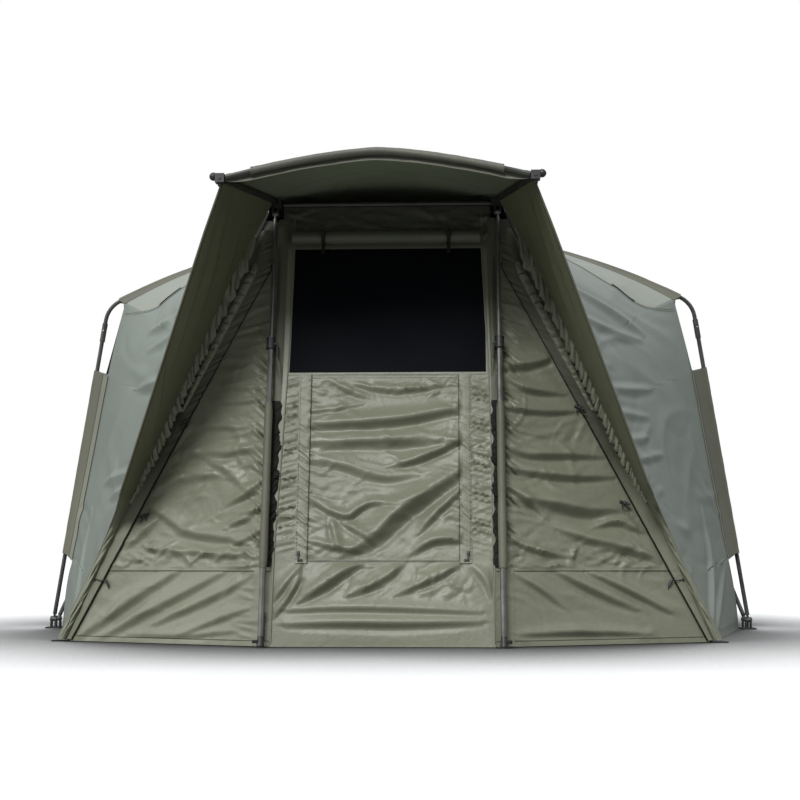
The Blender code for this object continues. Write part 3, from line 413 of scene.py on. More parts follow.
class Shape:
    """Points and faces gathered into one mesh."""

    def __init__(self):
        self.verts, self.uvs, self.faces, self.count = [], [], [], 0

    def add(self, verts, faces, uvs=None, side=1):
        """Points and faces, mirrored where the side is -1."""
        verts = np.asarray(verts, float) * (side, 1, 1)
        self.verts.append(verts)
        self.uvs.append(np.zeros((len(verts), 2)) if uvs is None else uvs)
        for face in faces:
            face = [int(i) + self.count for i in face]
            self.faces.append(face if side > 0 else face[::-1])
        self.count += len(verts)
        return self

    def grid(self, points, side=1, keep=None, wrap=False):
        """Quads between rows of points, with their lengths in metres as texture coordinates."""
        rows, cols = points.shape[:2]
        index = np.arange(rows * cols).reshape(rows, cols)
        if wrap:
            index = np.concatenate((index, index[:, :1]), axis=1)
        quads = np.stack((index[:-1, :-1], index[:-1, 1:], index[1:, 1:], index[1:, :-1]), axis=-1)
        quads = quads.reshape(-1, 4) if keep is None else quads[keep]
        across = np.linalg.norm(np.diff(points, axis=1), axis=2).mean(axis=0)
        down = np.linalg.norm(np.diff(points, axis=0), axis=2).mean(axis=1)
        u, v = np.meshgrid(np.concatenate(([0], np.cumsum(across))), np.concatenate(([0], np.cumsum(down))))
        return self.add(points.reshape(-1, 3), quads, np.stack((u, v), axis=-1).reshape(-1, 2), side)

    def tube(self, path, radius, sides=12, side=1, ends=True):
        """Round bar along a path, with flat ends or open ones."""
        path = np.asarray(path, float)
        tangents = unit(np.gradient(path, axis=0))
        helper = np.array((0, 0, 1)) if abs(tangents[0][2]) < 0.8 else np.array((1, 0, 0))
        normal = unit(np.cross(tangents[0], helper))
        turns = np.linspace(0, 2 * math.pi, sides, endpoint=False)
        radii = np.broadcast_to(radius, (len(path),))
        rings = []
        for point, tangent, r in zip(path, tangents, radii):
            normal = unit(normal - tangent * (normal @ tangent))
            other = np.cross(tangent, normal)
            rings.append(point + r * (np.outer(np.cos(turns), normal) + np.outer(np.sin(turns), other)))
        start = self.count
        self.grid(np.array(rings), side, wrap=True)
        if ends:
            last = start + (len(path) - 1) * sides
            self.faces.append([start + i for i in range(sides)])
            self.faces.append([last + i for i in range(sides)])
        return self

    def take(self, bm, matrix, side):
        """Add a small built mesh, moved to its place."""
        bm.transform(matrix)
        bm.verts.index_update()
        self.add([tuple(v.co) for v in bm.verts], [[v.index for v in f.verts] for f in bm.faces], side=side)
        bm.free()
        return self

    def block(self, size, place, turn=None, bevel=0.001, side=1):
        """Box with rounded edges, turned and put in place."""
        bm = bmesh.new()
        bmesh.ops.create_cube(bm, size=1, matrix=Matrix.Diagonal((*size, 1)))
        bmesh.ops.bevel(bm, geom=bm.edges, offset=bevel, segments=2, affect="EDGES", profile=0.5)
        return self.take(bm, Matrix.Translation(Vector(place)) @ (turn or Matrix.Identity(4)), side)

    def ball(self, place, radius, stretch=(1, 1, 1), side=1):
        """Ball, stretched along its axes."""
        bm = bmesh.new()
        bmesh.ops.create_uvsphere(bm, u_segments=16, v_segments=10, radius=radius)
        return self.take(bm, Matrix.Translation(Vector(place)) @ Matrix.Diagonal((*stretch, 1)), side)

    def piece(self, name, material, slot, replaces=(), body="main_frame", thickness=CLOTH, lining=None):
        """One named piece of the scene: its mesh, thickness, finish, body and replaced nodes; the slot is not
        used.
        """
        verts = np.concatenate(self.verts) + (0, RIB_Y, 0)
        uvs = np.concatenate(self.uvs)
        used = np.zeros(len(verts), bool)
        for face in self.faces:
            used[face] = True
        moved = np.cumsum(used) - 1
        faces = [[int(moved[i]) for i in face] for face in self.faces]
        mesh = bpy.data.meshes.new(name)
        mesh.from_pydata(verts[used].tolist(), [], faces)
        layer = mesh.uv_layers.new(name="metres")
        corners = np.zeros(len(mesh.loops), int)
        mesh.loops.foreach_get("vertex_index", corners)
        layer.data.foreach_set("uv", uvs[used][corners].astype(np.float32).reshape(-1))
        mesh.materials.append(material)
        if lining:
            mesh.materials.append(lining)
        obj = bpy.data.objects.new(name, mesh)
        bpy.context.scene.collection.objects.link(obj)
        if thickness:
            thicken(obj, thickness, lining)
        bm = bmesh.new()
        bm.from_mesh(obj.data)
        bmesh.ops.recalc_face_normals(bm, faces=bm.faces)
        bm.to_mesh(obj.data)
        bm.free()
        obj.data.shade_smooth()
        obj.data.set_sharp_from_angle(angle=math.radians(68))
        if body:
            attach(obj, body)
        if replaces:
            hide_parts(*replaces)
        return obj


def thicken(obj, thickness, lining):
    """Give a sheet its thickness, half of it on each side, and its lining on one."""
    sheet = obj.data
    shell = obj.modifiers.new("thickness", "SOLIDIFY")
    shell.thickness = thickness
    shell.offset = 0
    shell.material_offset = 1 if lining else 0
    shown = obj.evaluated_get(bpy.context.evaluated_depsgraph_get())
    obj.data = bpy.data.meshes.new_from_object(shown)
    obj.data.name = obj.name
    obj.modifiers.clear()
    bpy.data.meshes.remove(sheet)


def flat_cut(grid, keep=None):
    """Width, length and area of the cloth that a grid was cut from."""
    across = np.linalg.norm(np.diff(grid, axis=1), axis=2).sum(axis=1).max()
    down = np.linalg.norm(np.diff(grid, axis=0), axis=2).sum(axis=0).max()
    d1 = grid[1:, 1:] - grid[:-1, :-1]
    d2 = grid[1:, :-1] - grid[:-1, 1:]
    cells = np.linalg.norm(np.cross(d1, d2), axis=2) / 2
    area = cells.sum() if keep is None else cells[keep].sum()
    return (round(float(across), 3), round(float(down), 3)), float(min(area, across * down))


def declare(grid, keep=None):
    """Work out the flat size and area of the cloth a piece is cut from; nothing is kept."""
    flat, area = flat_cut(grid, keep)
    area = min(max(area, 0.3 * flat[0] * flat[1]), flat[0] * flat[1])


def spans(marks, step=GRID):
    """Places across a panel that fall on each of its marks and are never further apart than a step."""
    places = []
    for a, b in zip(marks, marks[1:]):
        count = max(1, math.ceil((b - a) / step))
        places += list(np.linspace(a, b, count, endpoint=False))
    return np.array(places + [marks[-1]])


def band(surface, line, width, lift, step=0.006, columns=3):
    """Grid of a tape that lies on a surface along a line, lifted off it."""
    line = resample(line, step)
    run = unit(np.gradient(line, axis=0))
    across = np.stack((-run[:, 1], run[:, 0]), axis=1)
    offsets = np.linspace(-width / 2, width / 2, columns)
    s = line[:, 0, None] + across[:, 0, None] * offsets
    t = line[:, 1, None] + across[:, 1, None] * offsets
    return surface(s, t, lift)


# Materials

def node(tree, kind, inputs=None, **settings):
    """New shader node with its inputs set or linked."""
    made = tree.nodes.new(kind)
    for key, value in settings.items():
        setattr(made, key, value)
    for key, value in (inputs or {}).items():
        if isinstance(value, bpy.types.NodeSocket):
            tree.links.new(value, made.inputs[key])
        else:
            made.inputs[key].default_value = value
    return made


def blank(name):
    """New material with its node tree and its shader."""
    material = bpy.data.materials.new(name)
    material.use_nodes = True
    tree = material.node_tree
    return material, tree, tree.nodes["Principled BSDF"]


def noise(tree, place, scale, detail=3.0, roughness=0.5, distortion=0.0):
    """Cloudy pattern over places."""
    made = node(tree, "ShaderNodeTexNoise", {
        "Vector": place, "Scale": scale, "Detail": detail, "Roughness": roughness, "Distortion": distortion})
    return made.outputs["Fac"]


def ranged(tree, value, low, high, new_low, new_high):
    """Value moved from one range to another."""
    made = node(tree, "ShaderNodeMapRange", {
        "Value": value, "From Min": low, "From Max": high, "To Min": new_low, "To Max": new_high})
    return made.outputs["Result"]


def blended(tree, share, a, b):
    """Colour mixed from two others."""
    made = node(tree, "ShaderNodeMix", data_type="RGBA")
    for key, value in (("Factor", share), ("A", a), ("B", b)):
        socket = [s for s in made.inputs if s.name == key and s.enabled and s.type != "VECTOR"][0]
        if isinstance(value, bpy.types.NodeSocket):
            tree.links.new(value, socket)
        else:
            socket.default_value = value
    return [s for s in made.outputs if s.enabled][0]


def tint(colour, share):
    """Colour made lighter or darker by a share."""
    return tuple(c * share for c in colour) + (1,)


def cloth_material(
        name, colour, roughness=0.5, vary=0.12, weave=0.0016, crinkle=0.35, sheen=0.02, gloss=0.5, levels=()):
    """Coated woven cloth: threads, faint crinkles, and colour that varies from place to place.

    Each level gives two heights, between which the colour turns into another; in this script the levels paint
    light and shade by height.
    """
    material, tree, shader = blank(name)
    coordinates = node(tree, "ShaderNodeTexCoord")
    place = coordinates.outputs["Object"]
    threads = coordinates.outputs["UV"]
    height = node(tree, "ShaderNodeSeparateXYZ", {"Vector": place}).outputs["Z"]
    broad = ranged(tree, noise(tree, place, 2.2, 4), 0.35, 0.65, 1 - vary, 1 + vary)
    speck = ranged(tree, noise(tree, place, 260, 2), 0.3, 0.7, 1, 0.9)
    share = node(tree, "ShaderNodeMath", {0: broad, 1: speck}, operation="MULTIPLY").outputs["Value"]
    base = blended(tree, 0.0, tint(colour, 1), tint(colour, 1))
    for low, high, above in levels:
        base = blended(tree, ranged(tree, height, low, high, 0, 1), base, tint(above, 1))
    shaded = node(tree, "ShaderNodeVectorMath", {0: base, "Scale": share}, operation="SCALE")
    tree.links.new(shaded.outputs["Vector"], shader.inputs["Base Color"])
    worn = ranged(tree, noise(tree, place, 7, 4), 0.3, 0.7, roughness - 0.06, roughness + 0.08)
    tree.links.new(worn, shader.inputs["Roughness"])
    shader.inputs["Sheen Weight"].default_value = sheen
    shader.inputs["Sheen Roughness"].default_value = 0.4
    shader.inputs["Specular IOR Level"].default_value = gloss
    scale = 0.314 / weave
    warp = node(tree, "ShaderNodeTexWave", {"Vector": threads, "Scale": scale}, bands_direction="X")
    weft = node(tree, "ShaderNodeTexWave", {"Vector": threads, "Scale": scale}, bands_direction="Y")
    cross = node(tree, "ShaderNodeMath", {
        0: warp.outputs["Fac"], 1: weft.outputs["Fac"]}, operation="MAXIMUM")
    bump = node(tree, "ShaderNodeBump", {
        "Height": cross.outputs["Value"], "Strength": 0.3, "Distance": weave / 6})
    small = noise(tree, place, 45, 5, 0.55, 0.6)
    bump = node(tree, "ShaderNodeBump", {
        "Height": small, "Strength": crinkle, "Distance": 0.004, "Normal": bump.outputs["Normal"]})
    tree.links.new(bump.outputs["Normal"], shader.inputs["Normal"])
    return material


def hard_material(name, colour, roughness, metallic=0.0, grain=0.05, scratch=0.25):
    """Coated metal or moulded plastic, dull, with fine grain and rubbed places."""
    material, tree, shader = blank(name)
    place = node(tree, "ShaderNodeTexCoord").outputs["Object"]
    cloud = ranged(tree, noise(tree, place, 14, 5), 0.35, 0.65, 0, 1)
    colours = blended(tree, cloud, tint(colour, 0.8), tint(colour, 1.2))
    rub = ranged(tree, noise(tree, place, 60, 6, 0.7), 0.62, 0.78, 0, scratch)
    colours = blended(tree, rub, colours, tint(colour, 2.2))
    tree.links.new(colours, shader.inputs["Base Color"])
    tree.links.new(ranged(tree, cloud, 0, 1, roughness - 0.07, roughness + 0.07), shader.inputs["Roughness"])
    shader.inputs["Metallic"].default_value = metallic
    fine = noise(tree, place, 900, 2)
    bump = node(tree, "ShaderNodeBump", {"Height": fine, "Strength": grain, "Distance": 0.0005})
    tree.links.new(bump.outputs["Normal"], shader.inputs["Normal"])
    return material


def window_material(name):
    """Fine black insect mesh, made opaque: its black is the mesh's own, and its darkness all over is painted
    shade of the inside behind it.
    """
    material, tree, shader = blank(name)
    coordinates = node(tree, "ShaderNodeTexCoord")
    cells = node(tree, "ShaderNodeTexBrick", {
        "Vector": coordinates.outputs["UV"], "Scale": 1.0, "Mortar Size": 0.0004, "Brick Width": 0.0016,
        "Row Height": 0.0016, "Color1": (0.0015, 0.002, 0.003, 1), "Color2": (0.002, 0.0025, 0.004, 1),
        "Mortar": (0.003, 0.004, 0.006, 1)}, offset=0.0)
    broad = ranged(tree, noise(tree, coordinates.outputs["Object"], 3, 3), 0.3, 0.7, 0, 1)
    share = ranged(tree, broad, 0, 1, 0, 0.4)
    colours = blended(tree, share, cells.outputs["Color"], (0.001, 0.0014, 0.003, 1))
    tree.links.new(colours, shader.inputs["Base Color"])
    tree.links.new(ranged(tree, broad, 0, 1, 0.6, 0.75), shader.inputs["Roughness"])
    shader.inputs["Specular IOR Level"].default_value = 0.06
    bump = node(tree, "ShaderNodeBump", {"Height": cells.outputs["Fac"], "Strength": 0.3, "Distance": 0.0003})
    tree.links.new(bump.outputs["Normal"], shader.inputs["Normal"])
    return material


FRONT_COLOUR = (0.178, 0.186, 0.133)
WING_COLOUR = (0.152, 0.161, 0.096)
SKIN = cloth_material("skin_cloth", (0.160, 0.185, 0.162), 0.36, 0.07, crinkle=0.15)
# Yoke cloth paler than the skin: partly the strip's own tone, partly painted highlight along the top seam.
YOKE = cloth_material("yoke_cloth", (0.225, 0.245, 0.205), 0.40, 0.07, crinkle=0.15)
HOOD = cloth_material("hood_cloth", (0.165, 0.169, 0.124), 0.50, 0.10, crinkle=0.25)
# Hood lining lighter from 1.37 m to 1.45 m high: painted light that evens out the shade deep under the hood.
LINING = cloth_material(
    "hood_lining", (0.150, 0.172, 0.122), 0.60, 0.08, crinkle=0.25, sheen=0.0,
    levels=((1.37, 1.45, (0.270, 0.310, 0.215)),))
# Wing and low band: front colour below 0.435 m is painted light on the band, the darkest tone from 0.46 m to
# 0.55 m is painted shade, and WING_COLOUR is used higher up.
WING = cloth_material(
    "wing_cloth", FRONT_COLOUR, 0.50, 0.10, crinkle=0.22,
    levels=((0.435, 0.46, (0.122, 0.129, 0.078)), (0.55, 0.95, WING_COLOUR)))
# Front cloth turns darker from 1.22 m to 1.30 m high: painted shade under the hood, on the panel and on the
# rolled window cover.
FRONT = cloth_material(
    "front_cloth", FRONT_COLOUR, 0.42, 0.08, crinkle=0.45, levels=((1.22, 1.30, (0.075, 0.078, 0.062)),))
# Zip cover darker above 0.42 m and a little less dark above 0.80 m: painted shade of the wing and the hood.
COVER = cloth_material(
    "cover_cloth", FRONT_COLOUR, 0.50, 0.10, crinkle=0.35,
    levels=((0.42, 0.58, (0.065, 0.067, 0.046)), (0.80, 1.00, (0.100, 0.104, 0.070))))
# Ruffle cloth is lighter than the zip cover it belongs to: painted light on the crests of the gathers in the
# wing's shade.
RUFFLE = cloth_material("ruffle_cloth", (0.205, 0.208, 0.152), 0.50, 0.14, crinkle=0.45)
SLEEVE = cloth_material("sleeve_cloth", (0.112, 0.111, 0.080), 0.60, 0.14, crinkle=0.4)
BROW = cloth_material("brow_cloth", (0.105, 0.107, 0.084), 0.55, 0.12, crinkle=0.3)
# Near black; the pole recesses use it as painted shade.
DARK = cloth_material("dark_cloth", (0.012, 0.013, 0.010), 0.66, 0.15, crinkle=0.5, sheen=0.0, gloss=0.13)
# Margin cloth darker than the front: painted shade of the recess beside the poles.
MARGIN = cloth_material("margin_cloth", (0.104, 0.109, 0.078), 0.55, 0.12, crinkle=0.45, sheen=0.0, gloss=0.3)
TRIM = cloth_material(
    "trim_cloth", (0.165, 0.172, 0.125), 0.55, 0.10, weave=0.0022, crinkle=0.15, sheen=0.1)
STITCH = cloth_material("stitch_cloth", (0.070, 0.073, 0.052), 0.7, 0.15, crinkle=0.2, sheen=0.0, gloss=0.2)
WEB = cloth_material(
    "webbing", (0.018, 0.018, 0.017), 0.7, 0.2, weave=0.003, crinkle=0.2, sheen=0.0, gloss=0.25)
RIB = hard_material("rib_coating", (0.075, 0.078, 0.070), 0.40, 0.55)
POLE = hard_material("pole_coating", (0.175, 0.178, 0.168), 0.34, 0.75)
PLASTIC = hard_material("black_nylon", (0.018, 0.018, 0.019), 0.48)
METAL = hard_material("dark_metal", (0.10, 0.10, 0.095), 0.32, 0.9)
BRIGHT = hard_material("bright_metal", (0.52, 0.52, 0.50), 0.28, 1.0)
WINDOW = window_material("window_net")

KEPT = {
    "rib": RIB, "brow_arm": RIB, "tension_bar": RIB, "cross_bar": RIB, "brow_bar": RIB, "pole_upper": POLE,
    "pole_lower": POLE, "hinge_block": PLASTIC, "hub": PLASTIC, "brow_corner": PLASTIC, "pole_clamp": PLASTIC,
    "clamp_lever": PLASTIC, "pole_foot": PLASTIC, "toggle": PLASTIC}


def refinish():
    """Give the nodes that stay their finished materials."""
    for name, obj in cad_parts.items():
        for key, material in KEPT.items():
            if name.startswith(key) or (key == "rib" and "_rib_" in name):
                obj.data.materials.clear()
                obj.data.materials.append(material)
                obj.data.shade_smooth()
                obj.data.set_sharp_from_angle(angle=math.radians(40))


# Middle of the front: panel, door, window

# Each fold is its line (distance from the middle, height), its width and its rise.
CENTRE_FOLD_SHARE = 2.05
SIDE_FOLD_SHARES = {"left": 1.45, "right": 2.55}
CENTRE_FOLDS = (
    (((-0.25, 0.668), (-0.085, 0.672), (0.057, 0.682), (0.152, 0.703), (0.25, 0.722)), 0.015, 0.013),
    (((-0.25, 0.610), (-0.060, 0.615), (0.116, 0.619), (0.25, 0.618)), 0.015, 0.010),
    (((0.023, 0.539), (0.093, 0.556), (0.163, 0.586), (0.25, 0.625)), 0.010, 0.010),
    (((-0.24, 0.565), (-0.106, 0.539), (-0.036, 0.509), (0.035, 0.500), (0.116, 0.514)), 0.013, 0.006),
    (((-0.11, 0.270), (-0.010, 0.331), (0.041, 0.392), (0.116, 0.438), (0.175, 0.479), (0.25, 0.53)),
     0.021, 0.019),
    (((0.09, 0.275), (0.134, 0.305), (0.180, 0.316), (0.25, 0.311)), 0.011, 0.010),
    (((0.111, 0.339), (0.151, 0.386), (0.198, 0.432), (0.245, 0.475)), 0.010, 0.009),
    (((-0.235, 0.445), (-0.162, 0.398), (-0.104, 0.380), (-0.081, 0.404), (-0.035, 0.430), (0.04, 0.418)),
     0.009, 0.008),
    (((-0.162, 0.375), (-0.149, 0.323), (-0.131, 0.280)), 0.008, 0.007),
    (((-0.135, 0.375), (-0.080, 0.340), (-0.025, 0.300)), 0.008, 0.007),
    (((-0.22, 0.310), (-0.143, 0.291), (-0.06, 0.277)), 0.009, 0.008),
    (((-0.175, 0.810), (-0.110, 0.775), (-0.06, 0.757)), 0.008, 0.005),
    (((-0.10, 0.803), (-0.003, 0.777), (0.092, 0.780), (0.19, 0.800)), 0.009, 0.006),
    (((-0.245, 0.711), (-0.151, 0.719), (-0.07, 0.735)), 0.007, 0.004),
    (((-0.24, 0.135), (-0.169, 0.180), (-0.113, 0.220), (-0.05, 0.252)), 0.013, 0.012),
    (((-0.09, 0.153), (-0.009, 0.186), (0.036, 0.220), (0.062, 0.246)), 0.011, 0.010),
    (((0.045, 0.152), (0.128, 0.188), (0.185, 0.214), (0.225, 0.240)), 0.010, 0.009),
    (((-0.29, 0.106), (-0.111, 0.113), (0.117, 0.107), (0.29, 0.101)), 0.010, 0.006),
    (((-0.29, 0.065), (-0.110, 0.068), (0.060, 0.065), (0.29, 0.072)), 0.011, 0.008),
    (((-0.332, 0.125), (-0.290, 0.180), (-0.250, 0.236)), 0.009, 0.007),
    (((-0.325, 0.085), (-0.283, 0.135), (-0.244, 0.198)), 0.008, 0.006),
    (((-0.278, 0.148), (-0.253, 0.197), (-0.245, 0.236)), 0.007, 0.005),
    (((0.262, 0.240), (0.305, 0.197), (0.32, 0.145)), 0.009, 0.006),
)


PIPING = {
    -1: ((0.02, 0.29, 0.53, 0.89, 1.26), (0.331, 0.329, 0.318, 0.303, 0.297)),
    1: ((0.02, 0.25, 0.53, 0.89, 1.26), (0.331, 0.328, 0.328, 0.322, 0.306)),
}


def piping_x(z, sign):
    """Distance of the middle panel's side piping from the middle, at a height."""
    heights, places = PIPING[sign]
    return np.interp(z, heights, places)


def centre_height(x, z):
    """Relief of the middle panel and the door over their plane."""
    out = np.abs(x)
    border = np.where(x < 0, piping_x(z, -1), piping_x(z, 1))
    inner = FLAP_MIDDLE - FLAP_WIDTH / 2
    outer = FLAP_MIDDLE + FLAP_WIDTH / 2
    loose = drawn(x, z, CENTRE_FOLDS) * CENTRE_FOLD_SHARE
    loose += crinkles(x, z, 11, 110, (-0.23, 0.23, 0.27, 0.80), 0.045, 0.008, 0.0045, 0.12, 0.45)
    loose += crinkles(x, z, 12, 60, (-0.26, 0.26, 0.15, 0.25), 0.030, 0.007, 0.005, 0.7, 0.5)
    loose += crinkles(x, z, 13, 46, (-0.24, 0.24, 0.77, 0.83), 0.028, 0.006, 0.005, 0.2, 0.6)
    loose += 0.010 * np.sin(math.pi * ramp(z, DOOR_BOTTOM)) * np.cos(math.pi * x / 2 / SEAM_HALF)
    edge = np.exp(-np.maximum(inner - out, 0) / 0.022)
    loose += gathers(z, x, 4, 0.022, 0.0080, 0.3) * edge * (z > DOOR_BOTTOM)
    beside = (out > inner) & (z > DOOR_BOTTOM - 0.006)
    loose = np.where(beside, loose * np.clip(1 - (out - inner) / 0.012, 0.12, 1), loose)
    loose *= np.clip((border - out) / 0.012, 0.1, 1)
    reach = ramp(z - 0.27, 0.06)
    margin = ramp(out - outer, 0.006) * ramp(border - out, 0.008)
    for seed, sign in ((3, -1), (8, 1)):
        ripple = gathers(z, x, seed, 0.024, 0.0115, 0.25 * sign) + gathers(z, x, seed + 2, 0.015, 0.004, -0.4)
        loose += np.where(x * sign > 0, ripple * margin * reach, 0)
    on_flap = ramp(out - inner, 0.004) * ramp(outer - out, 0.004)
    loose += gathers(z, x, 6, 0.016, 0.0055, 0.8) * on_flap * ramp(0.74 - z, 0.1) * reach
    loose *= 0.02 + 0.98 * pinch(z, DOOR_BOTTOM, 0.012)
    loose *= pinch(np.minimum(z, 0.05), HEM, 0.008)
    loose *= ramp(WINDOW_BOTTOM - 0.004 - z, 0.03)
    loose *= ramp(SEAM_HALF - out, 0.006)
    upper = crinkles(x, z, 16, 60, (-0.33, 0.33, 1.28, 1.39), 0.05, 0.008, 0.0050, 0.0, 0.25)
    upper += crinkles(x, z, 17, 30, (-0.34, 0.34, 0.86, 1.30), 0.03, 0.007, 0.0020, 1.4, 0.3)
    upper *= ramp(z - WINDOW_BOTTOM, 0.02) * ramp(SEAM_HALF - out, 0.01)
    upper *= ramp(out - WINDOW_HALF, 0.008) + (z > WINDOW_TOP + 0.01)
    return loose + upper


def centre_plane(x, z):
    """Points of the middle panel, without relief."""
    return np.stack((x, panel_y(z), z), axis=-1)


def centre_at(x, z, lift=0.0):
    """Points of the middle panel, with its relief."""
    x, z = np.broadcast_arrays(x, z)
    return centre_plane(x, z) + PANEL_FORWARD * (centre_height(x, z) + lift)[..., None]


def middle_front():
    """The panel between the poles, open for the door and the window."""
    half = [0, DOOR_HALF, DOOR_HALF + FLAP_WIDTH, WINDOW_HALF, SEAM_HALF]
    xs = spans([-v for v in half[:0:-1]] + half)
    zs = spans([HEM, DOOR_BOTTOM, DOOR_TOP, WINDOW_BOTTOM, WINDOW_TOP, HUB_HEIGHT - TUBE_R - CLEAR])
    x, z = np.meshgrid(xs, zs)
    mid_x = (x[:-1, :-1] + x[1:, 1:]) / 2
    mid_z = (z[:-1, :-1] + z[1:, 1:]) / 2
    door = (np.abs(mid_x) < DOOR_HALF) & (mid_z > DOOR_BOTTOM) & (mid_z < DOOR_TOP)
    window = (np.abs(mid_x) < WINDOW_HALF) & (mid_z > WINDOW_BOTTOM) & (mid_z < WINDOW_TOP)
    keep = ~(door | window)
    panel = Shape().grid(centre_at(x, z), keep=keep).piece(
        "front_middle", FRONT, "front_olive", ["front_panel_center"])
    declare(centre_plane(x, z), keep)


def door():
    """The door's cloth, which closes the lower opening and hangs from its bottom seam."""
    xs = spans([-DOOR_HALF + DOOR_GAP, 0, DOOR_HALF - DOOR_GAP])
    zs = spans([DOOR_BOTTOM + DOOR_GAP, DOOR_TOP - DOOR_GAP])
    x, z = np.meshgrid(xs, zs)
    cloth = Shape().grid(centre_at(x, z)).piece(
        "door_cloth", FRONT, "front_olive", ["door_panel"], body="door")
    declare(centre_plane(x, z))


def window():
    """The window's mesh, with a little slack."""
    xs = spans([-WINDOW_HALF, WINDOW_HALF], 0.02)
    zs = spans([WINDOW_BOTTOM, WINDOW_TOP], 0.02)
    x, z = np.meshgrid(xs, zs)
    across = np.sin(math.pi * (x / WINDOW_HALF + 1) / 2)
    upward = np.sin(math.pi * (z - WINDOW_BOTTOM) / (WINDOW_TOP - WINDOW_BOTTOM))
    grid = np.stack((x, panel_y(z) + 0.001 + 0.004 * across * upward, z), axis=-1)
    net = Shape().grid(grid).piece("window_net", WINDOW, "mesh_black", ["window_mesh"], thickness=CLOTH / 2)
    declare(centre_plane(x, z))


def door_flaps():
    """Flaps over the door's zips, the seam below the door and the hem, with their stitching and a painted
    shadow line along each flap's inner edge.
    """
    flaps = Shape()
    stitches_and_shadow_line = Shape()
    top = WINDOW_BOTTOM - 0.002
    for sign in SIGNS.values():
        middle = sign * FLAP_MIDDLE
        line = [(middle, DOOR_BOTTOM - 0.010), (middle, top)]
        swell = np.sin(math.pi * np.linspace(0, 1, 11)) * 0.0012
        flap = band(centre_at, line, FLAP_WIDTH, 0.0034, 0.004, 11)
        flaps.grid(flap - np.array((0, 1, 0)) * swell[None, :, None])
        stitches_and_shadow_line.ball(centre_at(middle, DOOR_BOTTOM - 0.002, 0.005), 0.0055, (1, 0.6, 1))
        # A dark strip along each flap's inner edge is painted shadow of the flap's edge.
        inner = sign * (FLAP_MIDDLE - FLAP_WIDTH / 2 + 0.0012)
        outer = sign * (FLAP_MIDDLE + FLAP_WIDTH / 2 - 0.004)
        stitches_and_shadow_line.grid(band(centre_at, [(inner, DOOR_BOTTOM - 0.008), (inner, top)], 0.0022, 0.0046, 0.004))
        for low in np.arange(DOOR_BOTTOM, top - 0.008, STITCH_PITCH):
            line = [(outer, low), (outer, low + STITCH_LENGTH)]
            stitches_and_shadow_line.grid(band(centre_at, line, 0.0014, 0.0048, 0.003, 2))
    reach = FLAP_MIDDLE + 0.02
    seam = [(-reach, DOOR_BOTTOM - 0.003), (reach, DOOR_BOTTOM - 0.003)]
    flaps.grid(band(centre_at, seam, 0.007, 0.0012, 0.005))
    stitches_and_shadow_line.grid(band(centre_at, seam, 0.0024, 0.0024, 0.005))
    flaps.grid(band(centre_at, [(-SEAM_HALF, 0.008), (SEAM_HALF, 0.008)], 0.013, SEAM_LIFT, 0.005))
    flaps.piece("front_flaps", FRONT, "front_olive")
    stitches_and_shadow_line.piece("front_stitching_and_shadow_line", STITCH, "front_olive", thickness=CLOTH / 2)


def piping_line(sign):
    """Places and heights of the piping on one side of the middle panel."""
    heights = np.linspace(PIPING_LOW, PIPING_HIGH, 220)
    return piping_x(heights, sign) * sign, heights


def panel_borders():
    """Plain strips outside the piping of the middle panel."""
    borders = Shape()
    columns = np.linspace(0.02, 0.98, 7)
    for sign in SIGNS.values():
        places, heights = piping_line(sign)
        widths = SEAM_HALF - np.abs(places)
        borders.grid(centre_at(places[:, None] + sign * widths[:, None] * columns, heights[:, None], 0.0018))
    borders.piece("panel_borders", FRONT, "front_olive")


def window_border():
    """Strips round the window, from the piping inwards and along its top and bottom."""
    edges = Shape()
    high = WINDOW_TOP - 0.001
    low = WINDOW_BOTTOM + 0.001
    for sign in SIGNS.values():
        heights = np.linspace(low, high, 60)[:, None]
        inner = piping_x(heights, sign) - 0.004
        columns = np.array((0, 0.5, 1))
        edges.grid(centre_at(sign * (inner + (WINDOW_HALF + 0.002 - inner) * columns), heights, SEAM_LIFT))
    edges.grid(band(centre_at, [(-WINDOW_HALF, low), (WINDOW_HALF, low)], 0.007, 0.0016, 0.008))
    edges.grid(band(centre_at, [(-WINDOW_HALF, high), (WINDOW_HALF, high)], 0.010, 0.0016, 0.008))
    edges.piece("window_border", FRONT, "front_olive")


def panel_piping():
    """Round piping down both sides of the middle panel."""
    piping = Shape()
    for sign in SIGNS.values():
        piping.tube(centre_at(*piping_line(sign), 0.0030), PIPING_R, 8)
    piping.piece("panel_piping", TRIM, "front_olive", thickness=0)


def door_hem():
    """Hem along the top of the door."""
    reach = DOOR_HALF - 0.006
    hem = band(centre_at, [(-reach, DOOR_TOP - 0.004), (reach, DOOR_TOP - 0.004)], 0.006, 0.0013, 0.005)
    Shape().grid(hem).piece("door_hem", FRONT, "front_olive", body="door")


# Sides of the front, between the poles and the zip lines

